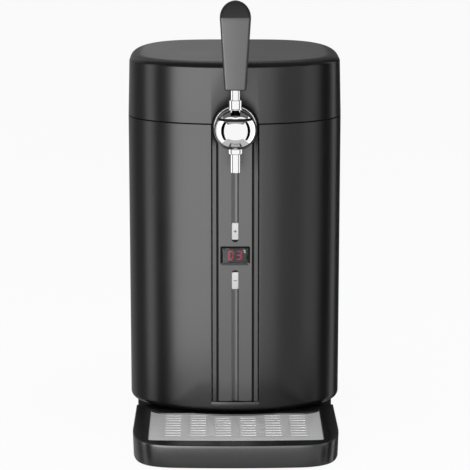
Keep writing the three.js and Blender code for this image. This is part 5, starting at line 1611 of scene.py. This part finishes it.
def cooling_chamber():
    low, high = measured("cooling_chamber")
    bottom, rim = low[2], high[2]
    floor, outer = bottom + CHAMBER_SHEET, CHAMBER + CHAMBER_SHEET
    corner, inner_corner = CHAMBER_CORNER, CHAMBER_CORNER - CHAMBER_SHEET
    profile = [(HAIR, bottom), (outer - corner, bottom)]
    profile += arc((outer - corner, bottom + corner), corner, -90, 0)
    profile += [(outer, rim - CHAMBER_SHEET), (outer + CHAMBER_FLANGE, rim - CHAMBER_SHEET)]
    profile.append((outer + CHAMBER_FLANGE, rim))
    profile += arc((CHAMBER + RIM_ROUND, rim - RIM_ROUND), RIM_ROUND, 90, 180, 5)
    profile += arc((CHAMBER - inner_corner, floor + inner_corner), inner_corner, 0, -90)
    profile.append((HAIR, floor))
    return smooth(turned("chamber_wall", profile, (0, CHAMBER_Y, 0), sides=CHAMBER_SIDES))


def hoop(node, name, radius):
    """A ring of soft section that fills a node's box."""
    low, high = measured(node)
    outer, bottom, top = high[0], low[2], high[2]
    edge = min(GASKET_ROUND, (top - bottom) / 3)
    profile = arc((outer - edge, bottom + edge), edge, -90, 0, 4)
    profile += arc((outer - edge, top - edge), edge, 0, 90, 4)
    profile += arc((radius + edge, top - edge), edge, 90, 180, 4)
    profile += arc((radius + edge, bottom + edge), edge, 180, 270, 4)
    return turned(name, profile + profile[:1], (0, CHAMBER_Y, 0), sides=CHAMBER_SIDES)


dress(deck_ring(), black_and_painted_shade, "deck_ring")
dress(cooling_chamber(), aluminium, "cooling_chamber")
gasket = smooth(hoop("chamber_gasket", "rim_gasket", CHAMBER + CHAMBER_SHEET))
dress(gasket, rubber, "chamber_gasket")
print("chamber", 2 * CHAMBER, "mm across")

# %% Coupler and beer tube
TUBE = 4.0
TUBE_BORE = 2.4
TUBE_SIDES = 32
TUBE_STEPS = 48
BEND_SHARE = 0.45
COUPLER_PLATE = 6.0
COUPLER_EDGE = 1.0
COUPLER_BODY = 14.0
COUPLER_SHOULDER = 1.2
COUPLER_NECK = 7.0
NECK_HEIGHT = 12.8


def coupler():
    low, high = measured("keg_coupler")
    radius, bottom, top = high[0], low[2], high[2]
    edge, shoulder = COUPLER_EDGE, COUPLER_SHOULDER
    plate_top, body_top = bottom + COUPLER_PLATE, top - NECK_HEIGHT
    profile = [(TUBE_BORE, bottom), (radius - edge, bottom)]
    profile += arc((radius - edge, bottom + edge), edge, -90, 0, 5)
    profile += arc((radius - edge, plate_top - edge), edge, 0, 90, 5)
    profile += [(COUPLER_BODY, plate_top + 3), (COUPLER_BODY, body_top - shoulder)]
    profile += arc((COUPLER_BODY - shoulder, body_top - shoulder), shoulder, 0, 90, 5)
    profile += [(COUPLER_NECK, body_top), (COUPLER_NECK, top - EDGE), (COUPLER_NECK - EDGE, top)]
    profile.append((TUBE_BORE, top))
    return smooth(turned("coupler_cap", profile + profile[:1], (0, CHAMBER_Y, 0), sides=96))


def beer_tube():
    low = measured("beer_tube")[0]
    end, start = (low[1], TAP_Z), (CHAMBER_Y, low[2])
    bend = (CHAMBER_Y + (low[1] - CHAMBER_Y) * BEND_SHARE, TAP_Z)
    path = np.array([start] + bezier(start, (CHAMBER_Y, TAP_Z), bend, end, steps=TUBE_STEPS))
    along = np.gradient(path, axis=0)
    along /= np.linalg.norm(along, axis=1)[:, None]
    along[0], along[-1] = (0, 1), (-1, 0)
    turns = np.arange(TUBE_SIDES) / TUBE_SIDES * 2 * math.pi

    def ring(place, heading, radius):
        side, rise = radius * np.cos(turns), radius * np.sin(turns)
        return [(s, place[0] + r * heading[1], place[1] - r * heading[0]) for s, r in zip(side, rise)]

    outer = [ring(p, a, TUBE) for p, a in zip(path, along)]
    inner = [ring(p, a, TUBE_BORE) for p, a in zip(path, along)]
    return smooth(skin("tube", outer + inner[::-1], closed=True), 50)


dress(coupler(), dark_plastic, "keg_coupler")
dress(beer_tube(), tube_clear, "beer_tube")
print("tube", 2 * TUBE, "mm across")

# %% Lid furniture
NOTCH_HALF = ARCH + 1.0
NOTCH_Y = (FRONT - 5.0, WIDEST - 79.0)
RIB_INNER = 94.0
RIB_OUTER = 100.0
FOAM_ROUND = 2.0


def lid_notch():
    return block("notch", (-NOTCH_HALF, NOTCH_HALF), NOTCH_Y, (DECK_BOTTOM, LID_TOP))


def lid_liner():
    low, high = measured("lid_liner")
    bottom, top = low[2], high[2]
    plate = stack("liner", cabinet_outline, [(z, LIP_INSET) for z in (LIP_TOP + 1, top)])
    rib = rod("rib", "z", RIB_OUTER, (bottom, top), (0, CHAMBER_Y, 0), CHAMBER_SIDES)
    bore = (bottom - OVERRUN, top + OVERRUN)
    cut(rib, rod("bore", "z", RIB_INNER, bore, (0, CHAMBER_Y, 0), CHAMBER_SIDES))
    join(plate, rib)
    cut(plate, lid_notch())
    return soften(plate)


def lid_seal():
    ring = hoop("lid_seal", "lip_seal", RIB_INNER + 0.5)
    return smooth(tidy(cut(ring, lid_notch())))


def lid_foam():
    low, high = measured("lid_insulation")
    middle, bottom, top = high[0] - FOAM_ROUND, low[2], high[2]
    profile = [(HAIR, bottom), (middle - 0.5, bottom)]
    profile += arc((middle, bottom + FOAM_ROUND), FOAM_ROUND, -90, 0, 4)
    profile += arc((middle, top - FOAM_ROUND), FOAM_ROUND, 0, 90, 4)
    profile.append((HAIR, top))
    return smooth(turned("foam_disc", profile, (0, CHAMBER_Y, 0), sides=96))


dress(lid_liner(), dark_plastic, "lid_liner")
dress(lid_seal(), rubber, "lid_seal")
dress(lid_foam(), foam, "lid_insulation")
print("lid furniture ready")

# %% [markdown]
# ## Hinges
# Two hinges behind carry the lid: a clevis on the cabinet, a single barrel on the lid, and a pin through
# both. Their plates lie against the curved wall, so each is a block with the cabinet's outline cut away.

# %% Hinges
HINGE_Y = middle_of("hinge_pin_left")[1]
HINGE_HALF = 15.0
HINGE_PLATE = 2.6
HINGE_HEIGHT = 18.0
HINGE_GAP = 0.5
BARREL = 4.5
BARREL_HALF = 6.0
PIN = 1.5
PIN_HALF = 15.5
HINGES = {"left": -55.0, "right": 55.0}


def hinge_cuts(middle, top):
    """The cabinet's wall and the hole for the pin."""
    wall = stack("wall", cabinet_outline, [(0, -FIT), (top, -FIT)])
    reach = (middle - HINGE_HALF - 3, middle + HINGE_HALF + 3)
    return wall, rod("hole", "x", PIN + FIT, reach, (0, HINGE_Y, SEAM), 32)


def hinge_plate(name, middle, bottom):
    face = HINGE_Y - BARREL + HINGE_PLATE
    across = (middle - HINGE_HALF, middle + HINGE_HALF)
    return block(name, across, (REAR_INSIDE, face), (bottom, bottom + HINGE_HEIGHT))


def hinge_bracket(middle):
    top = SEAM - BARREL - HINGE_GAP
    bracket = hinge_plate("bracket", middle, top - HINGE_HEIGHT)
    for end in (-1, 1):
        x = sorted((middle + end * (BARREL_HALF + HINGE_GAP), middle + end * HINGE_HALF))
        ear = rod("ear", "x", BARREL, x, (0, HINGE_Y, SEAM), 48)
        join(ear, block("web", x, (REAR_INSIDE, HINGE_Y), (top - BARREL, SEAM)))
        join(bracket, ear)
    cut(bracket, *hinge_cuts(middle, SEAM + 20))
    return soften(bracket, 0.5, 3)


def hinge_leaf(middle):
    bottom = SEAM + BARREL + HINGE_GAP
    leaf = hinge_plate("leaf", middle, bottom)
    x = (middle - BARREL_HALF, middle + BARREL_HALF)
    join(leaf, block("web", x, (REAR_INSIDE, HINGE_Y), (LID_BOTTOM, bottom + BARREL)))
    join(leaf, rod("barrel", "x", BARREL, x, (0, HINGE_Y, SEAM), 48))
    cut(leaf, *hinge_cuts(middle, LID_TOP))
    return soften(leaf, 0.5, 3)


def hinge_pin(side, middle):
    tip, shoulder = PIN_HALF, PIN_HALF - FIT
    profile = [(HAIR, -tip), (PIN - FIT, -tip), (PIN, -shoulder)]
    profile += [(PIN, shoulder), (PIN - FIT, tip), (HAIR, tip)]
    return smooth(turned("pin_" + side, profile, (middle, HINGE_Y, SEAM), "x", 32))


for side, middle in HINGES.items():
    dress(hinge_bracket(middle), dark_plastic, "hinge_bracket_" + side)
    dress(hinge_leaf(middle), dark_plastic, "hinge_leaf_" + side)
    dress(hinge_pin(side, middle), plain_steel, "hinge_pin_" + side)
print("hinges:", len(HINGES))

# %% [markdown]
# ## The back: inlet, switch and screws
# The mains comes in low on the back, through a shrouded inlet with three pins, beside a rocker switch. The
# cover's four screws get a cross recess, since such a small thing is what the eye checks for scale.

# %% Inlet and switch
REAR_FACE = measured("mains_inlet")[1][1]
FLANGE_LAP = 2.2
INLET_WALL = 2.2
INLET_DEPTH = 24.0
INLET_MOUTH = 17.0
INLET_PINS = [(-7.0, -2.2), (0.0, 2.2), (7.0, -2.2)]
INLET_PIN_HALF = (1.0, 2.0)
INLET_PIN_Y = (REAR_FACE - 19.0, REAR_FACE - 6.0)
SWITCH_WALL = 1.7
SWITCH_DEPTH = 16.0
SWITCH_MOUTH = 12.0
PIVOT_Y = REAR_FACE - 7.5
PIVOT = 1.0
PIVOT_HALF = 8.5
ROCKER_HALF = (7.5, 5.7)
ROCKER_HUB = 3.4
ROCKER_TIP = 6.2
ROCKER_DIP = 1.3
ROCKER_TILT = -8.0


def barrel_with_flange(name, x, half, depth):
    """A sleeve in the back whose flange lies against the curved wall."""
    barrel = rear_block(name + "_barrel", x, half, 0.0, (REAR_FACE - depth, REAR_FACE))
    flange = rear_block(name + "_flange", x, half, FLANGE_LAP, (REAR_INSIDE, REAR_FACE))
    return join(barrel, cut(flange, cabinet_block("wall", -FIT)))


def mains_inlet():
    barrel = barrel_with_flange("inlet", INLET_X, INLET_HALF, INLET_DEPTH)
    reach = (REAR_FACE - INLET_MOUTH, REAR_FACE + OVERRUN)
    cut(barrel, rear_block("mouth", INLET_X, INLET_HALF, -INLET_WALL, reach))
    half_x, half_z = INLET_PIN_HALF
    for across, up in INLET_PINS:
        x, z = INLET_X + across, INLET_Z + up
        join(barrel, block("pin", (x - half_x, x + half_x), INLET_PIN_Y, (z - half_z, z + half_z)))
    return soften(barrel, 0.35)


def switch_housing():
    barrel = barrel_with_flange("switch", SWITCH_X, SWITCH_HALF, SWITCH_DEPTH)
    reach = (REAR_FACE - SWITCH_MOUTH, REAR_FACE + OVERRUN)
    cut(barrel, rear_block("mouth", SWITCH_X, SWITCH_HALF, -SWITCH_WALL, reach))
    ends = (SWITCH_X - PIVOT_HALF - 0.7, SWITCH_X + PIVOT_HALF + 0.7)
    cut(barrel, rod("pivot", "x", PIVOT + FIT, ends, (0, PIVOT_Y, INLET_Z), 24))
    return soften(barrel, 0.3)


def rocker():
    half_x, half_z = ROCKER_HALF
    tilt = math.radians(ROCKER_TILT)
    across = [2 * i / 12 - 1 for i in range(13)]
    dip = [(ROCKER_TIP - ROCKER_DIP * (1 - share**2), half_z * share) for share in across]
    outline = []
    for u, v in [(-ROCKER_HUB, 0), (0, -ROCKER_HUB)] + dip + [(0, ROCKER_HUB)]:
        y, z = u * math.cos(tilt) - v * math.sin(tilt), u * math.sin(tilt) + v * math.cos(tilt)
        outline.append((PIVOT_Y + y, INLET_Z + z))
    paddle = prism("paddle", "x", outline, (SWITCH_X - half_x, SWITCH_X + half_x))
    ends = (SWITCH_X - PIVOT_HALF, SWITCH_X + PIVOT_HALF)
    join(paddle, rod("pivot", "x", PIVOT, ends, (0, PIVOT_Y, INLET_Z), 24))
    return soften(paddle, 0.3)


dress(mains_inlet(), dark_plastic, "mains_inlet")
dress(switch_housing(), dark_plastic, "switch_housing")
dress(rocker(), dark_plastic, "switch_rocker")
print("rear face of the flanges at", round(REAR_FACE, 1))

# %% Screws
SCREWS = [f"cover_screw_{row}_{side}" for row in ("lower", "upper") for side in ("left", "right")]
SCREW_SHANK = 1.4
SCREW_HEAD = 2.7
HEAD_HEIGHT = 1.6
RECESS_DEPTH = 1.0
RECESS_HALVES = [(1.5, 0.28), (0.28, 1.5)]


def cover_screw(node):
    low, high = measured(node)
    x, _, z = middle_of(node)
    tip, top = low[1], high[1]
    seat = top - HEAD_HEIGHT
    profile = [(HAIR, tip), (SCREW_SHANK, tip), (SCREW_SHANK, seat), (SCREW_HEAD, seat)]
    profile += [(SCREW_HEAD, seat + 0.5), (2.55, seat + 1.0), (2.1, seat + 1.4), (1.4, top), (HAIR, top)]
    screw = turned(node + "_body", profile, (x, 0, z), "y", 48)
    for across, up in RECESS_HALVES:
        cut(screw, block("recess", (x - across, x + across), (top - RECESS_DEPTH, top + 1), (z - up, z + up)))
    return smooth(tidy(screw))


for node in SCREWS:
    dress(cover_screw(node), plain_steel, node)
print("screws:", len(SCREWS))

# %% [markdown]
# ## The pieces that stay as they are
# Inside the case the frame's own solids are right: the sink's fins, the fan, the board and the power supply
# are plain shapes with true edges. They keep their meshes and only get a finish.

# %% Inner pieces
INNER = {
    "power_supply": plain_steel,
    "control_board": board_green,
    "insulation_jacket": foam,
    "temperature_probe": plain_steel,
    "cold_plate": aluminium,
    "peltier_module": ceramic,
    "heat_sink": aluminium,
    "fan_frame": dark_plastic,
    "fan_rotor": dark_plastic,
    "tap_shank": stainless,
    "shank_nut": plain_steel,
    "lever_pivot_pin": plain_steel,
    "valve_plunger": button_white,
}
for node, material in INNER.items():
    finish_node(node, material)
print("finished as they are:", len(INNER))

# %% [markdown]
# ## Floor and background
# A product picture like this stands on white. The floor scatters light like paint, but shows itself to the
# camera mostly as a plain white, so only a soft shadow is left on it. The world is the same white to the
# camera and in reflections, and dim for everything else, so that the lamps alone shape the object.

# %% Stage
FLOOR_HALF = 15.0
FLOOR_SHARE = 0.93
WORLD_LIGHT = 0.35


def sheet(name, half_x, half_y, material):
    """A flat rectangle about the origin, sized in metres."""
    mesh = bpy.data.meshes.new(name)
    corners = [(-half_x, -half_y, 0), (half_x, -half_y, 0), (half_x, half_y, 0), (-half_x, half_y, 0)]
    mesh.from_pydata(corners, [], [(0, 1, 2, 3)])
    mesh.materials.append(material)
    plane = bpy.data.objects.new(name, mesh)
    bpy.context.scene.collection.objects.link(plane)
    return plane


def make_floor():
    recipe = Recipe("floor_white")
    paint = recipe.set(Base_Color=(0.95, 0.95, 0.95), Roughness=0.9, Specular_IOR_Level=0.0)
    matt = Wire(recipe, recipe.shader.outputs[0])
    glowing = recipe.node("Emission", sockets={"Color": (1, 1, 1), "Strength": 1.0})
    seen = recipe.node("LightPath") * FLOOR_SHARE
    shaders = recipe.node("MixShader", sockets={0: seen, 1: matt, 2: glowing})
    recipe.feed(recipe.tree.nodes["Material Output"].inputs["Surface"], shaders)
    floor = sheet("floor", FLOOR_HALF, FLOOR_HALF, paint)
    floor.visible_glossy = False
    return floor


def make_world():
    world = bpy.data.worlds.new("white")
    bpy.context.scene.world = world
    sky = Nodes(world)
    camera_ray, glossy_ray, through_ray = (
        sky.node("LightPath", output=f"Is {kind} Ray") for kind in ("Camera", "Glossy", "Transmission")
    )
    clamped = {"operation": "ADD", "use_clamp": True}
    seen = sky.node("Math", clamped, {0: camera_ray, 1: glossy_ray})
    seen = sky.node("Math", clamped, {0: seen, 1: through_ray})
    level = sky.node("MapRange", sockets={"Value": seen, "To Min": WORLD_LIGHT, "To Max": 1.0})
    background = sky.tree.nodes["Background"]
    sky.feed(background.inputs["Strength"], level)
    sky.feed(background.inputs["Color"], (1, 1, 1))


make_floor()
make_world()
print("stage ready")

# %% [markdown]
# ## The ring of the studio
# Black plastic and chrome show nothing but their surroundings, so lighting them means placing what they
# reflect. Most of it stands in a ring about the object. Each thing on the ring is placed by its bearing,
# counted from the camera, and by the angle that it fills.

# %% Ring
RING = 1.4
RING_LOW = -0.9
RING_HIGH = 1.5


def stand(bearing, ring=RING):
    """Place and heading of something that stands on the ring and faces its centre."""
    turn = math.radians(bearing)
    place = Vector((ring * math.sin(turn), -ring * math.cos(turn), (RING_LOW + RING_HIGH) / 2))
    return place, (math.radians(90), 0, turn)


def width_of(angle, ring=RING):
    """How wide a thing on the ring is to fill an angle."""
    return 2 * ring * math.tan(math.radians(angle / 2))


print("ring", 2 * RING, "m across")

# %% [markdown]
# ## Lamps that only show in reflections
# The dull pieces and the chrome need different surroundings, and light linking gives each its own. The dull
# pieces see softboxes, whose reflections model the cabinet. The chrome sees screens as white as the
# background. One more softbox is there for the front channel alone. A lamp like these doesn't hide what
# stands behind it: it adds its light to it, so a lamp in front of a black card shows as the lamp alone.

# %% Panel lamps
def group(name, shiny):
    """The chrome pieces, or all the others, as the targets of a lamp."""
    pieces = bpy.data.collections.new(name)
    for piece in bpy.context.scene.objects:
        if piece.type == "MESH" and (chrome.name in piece.data.materials) == shiny:
            pieces.objects.link(piece)
    return pieces


def panel_lamp(name, radiance, size, place, rotation, targets):
    """A flat lamp that only shows in the reflections of its targets."""
    data = bpy.data.lights.new(name, "AREA")
    data.shape = "RECTANGLE"
    data.size, data.size_y = size
    data.energy = radiance * math.pi * size[0] * size[1]
    lamp = bpy.data.objects.new(name, data)
    lamp.location, lamp.rotation_euler = place, rotation
    lamp.visible_camera = lamp.visible_diffuse = False
    lamp.light_linking.receiver_collection = targets
    bpy.context.scene.collection.objects.link(lamp)
    return lamp


def softbox(bearing, angle, radiance, targets, low, high):
    place, rotation = stand(bearing)
    place.z = (low + high) / 2
    return panel_lamp("softbox", radiance, (width_of(angle), high - low), place, rotation, targets)


dull_pieces = group("dull_pieces", shiny=False)
shiny_pieces = group("shiny_pieces", shiny=True)
slope_pieces = bpy.data.collections.new("slope_pieces")
slope_pieces.objects.link(channel)

# %% Softboxes and screens
LAMP_LOW = -0.3
LAMP_HIGH = 1.05
SOFTBOXES = [
    (-30, 48, 5.8),
    (6, 24, 2.6),
    (25, 14, 1.6),
    (-86, 14, 1.75),
    (72, 18, 1.5),
]
SCREENS = (-141, -105, 105, 141, 177)
SCREEN_ANGLE = 37
SLOPE_LIGHT = (62, 26, 3.5)

for row in SOFTBOXES:
    softbox(*row, dull_pieces, LAMP_LOW, LAMP_HIGH)
for bearing in SCREENS:
    softbox(bearing, SCREEN_ANGLE, 1.0, shiny_pieces, RING_LOW, RING_HIGH)
softbox(*SLOPE_LIGHT, slope_pieces, LAMP_LOW, LAMP_HIGH)
print("softboxes:", len(SOFTBOXES) + 1, "screens:", len(SCREENS))

# %% [markdown]
# ## The sky in the chrome
# The ball mirrors what hangs overhead as well: one dim step over a grey card, and two white bars in a V that
# draw the bright shapes beside the lever's collar.

# %% Sky lamps
STEP_WHITE = 0.22
STEP_SIZE = (2.8, 0.8)
STEP_PLACE = (0.0, -1.4, 1.88)
BAR_SIZE = (1.68, 0.26)
BAR_PLACE = (0.75, -0.27, 1.86)
BAR_TURN = 26.5

sky_lamps = [panel_lamp("sky_step", STEP_WHITE, STEP_SIZE, STEP_PLACE, (0, 0, 0), shiny_pieces)]
for side in (-1, 1):
    place = (side * BAR_PLACE[0], BAR_PLACE[1], BAR_PLACE[2])
    turn = (0, 0, side * math.radians(BAR_TURN))
    sky_lamps.append(panel_lamp("sky_vee", 1.0, BAR_SIZE, place, turn, shiny_pieces))
print("sky lamps:", len(sky_lamps))

# %% [markdown]
# ## Cards
# Black and grey cards give the dark bands down the cabinet and in the chrome. Those on the ring have a
# bearing, an angle and a share of white. Those that lie above and below the object have a share of white, a
# side and a height.

# %% Cards
CARD_RING = RING * 1.02
STANDING_CARDS = [
    (-69, 19, 0.0),
    (73, 18, 0.0),
    (101, 27, 0.0),
    (-111, 30, 0.2),
    (138, 20, 0.0),
    (-145, 38, 0.35),
    (155, 14, 0.1),
    (-168, 8, 0.2),
    (-176, 8, 0.42),
    (176, 8, 0.27),
    (167, 10, 0.14),
]
LYING_CARDS = [
    (0.13, 3.6, 1.9),
    (0.12, 1.05, RING_LOW),
    (0.5, 2.5, RING_LOW - 0.02),
]


def card_paint(radiance):
    recipe = Recipe("card_grey" if radiance else "card_black")
    return recipe.set(
        Base_Color=(0, 0, 0), Roughness=1.0, Specular_IOR_Level=0.0,
        Emission_Color=(1, 1, 1), Emission_Strength=radiance,
    )


def board(width, height, radiance):
    """A flat card that only shows in reflections."""
    card = sheet("card", width / 2, height / 2, card_paint(radiance))
    card.visible_camera = card.visible_diffuse = card.visible_shadow = card.visible_transmission = False
    return card


for bearing, angle, radiance in STANDING_CARDS:
    card = board(width_of(angle, CARD_RING), RING_HIGH - RING_LOW, radiance)
    card.location, card.rotation_euler = stand(bearing, CARD_RING)
for radiance, side, height in LYING_CARDS:
    board(side, side, radiance).location = (0, 0, height)
print("cards:", len(STANDING_CARDS) + len(LYING_CARDS))

# %% [markdown]
# ## Even light
# Two square lamps light everything evenly from above and in front. They don't show in reflections, so they
# lift the colours of the plastic without drawing shapes on it.

# %% Fill lamps
FILLS = [
    ("overhead", 1.5, (0.0, -0.2, 1.9)),
    ("front_fill", 1.6, (-0.5, -2.0, 1.0)),
]
FILL_SIDE = 1.6
STUDIO_CENTRE = Vector((0.0, 0.0, 0.3))


def fill_lamp(name, radiance, place):
    data = bpy.data.lights.new(name, "AREA")
    data.shape = "SQUARE"
    data.size = FILL_SIDE
    data.energy = radiance * math.pi * FILL_SIDE * FILL_SIDE
    lamp = bpy.data.objects.new(name, data)
    lamp.location = place
    lamp.rotation_euler = (STUDIO_CENTRE - lamp.location).to_track_quat("-Z", "Y").to_euler()
    lamp.visible_camera = lamp.visible_glossy = False
    bpy.context.scene.collection.objects.link(lamp)


for fill in FILLS:
    fill_lamp(*fill)
print("fill lamps:", len(FILLS))

# %% [markdown]
# ## Finishing
# Colours are shown as they are, without a film curve.

# %% Finish
bpy.context.scene.view_settings.view_transform = "Standard"
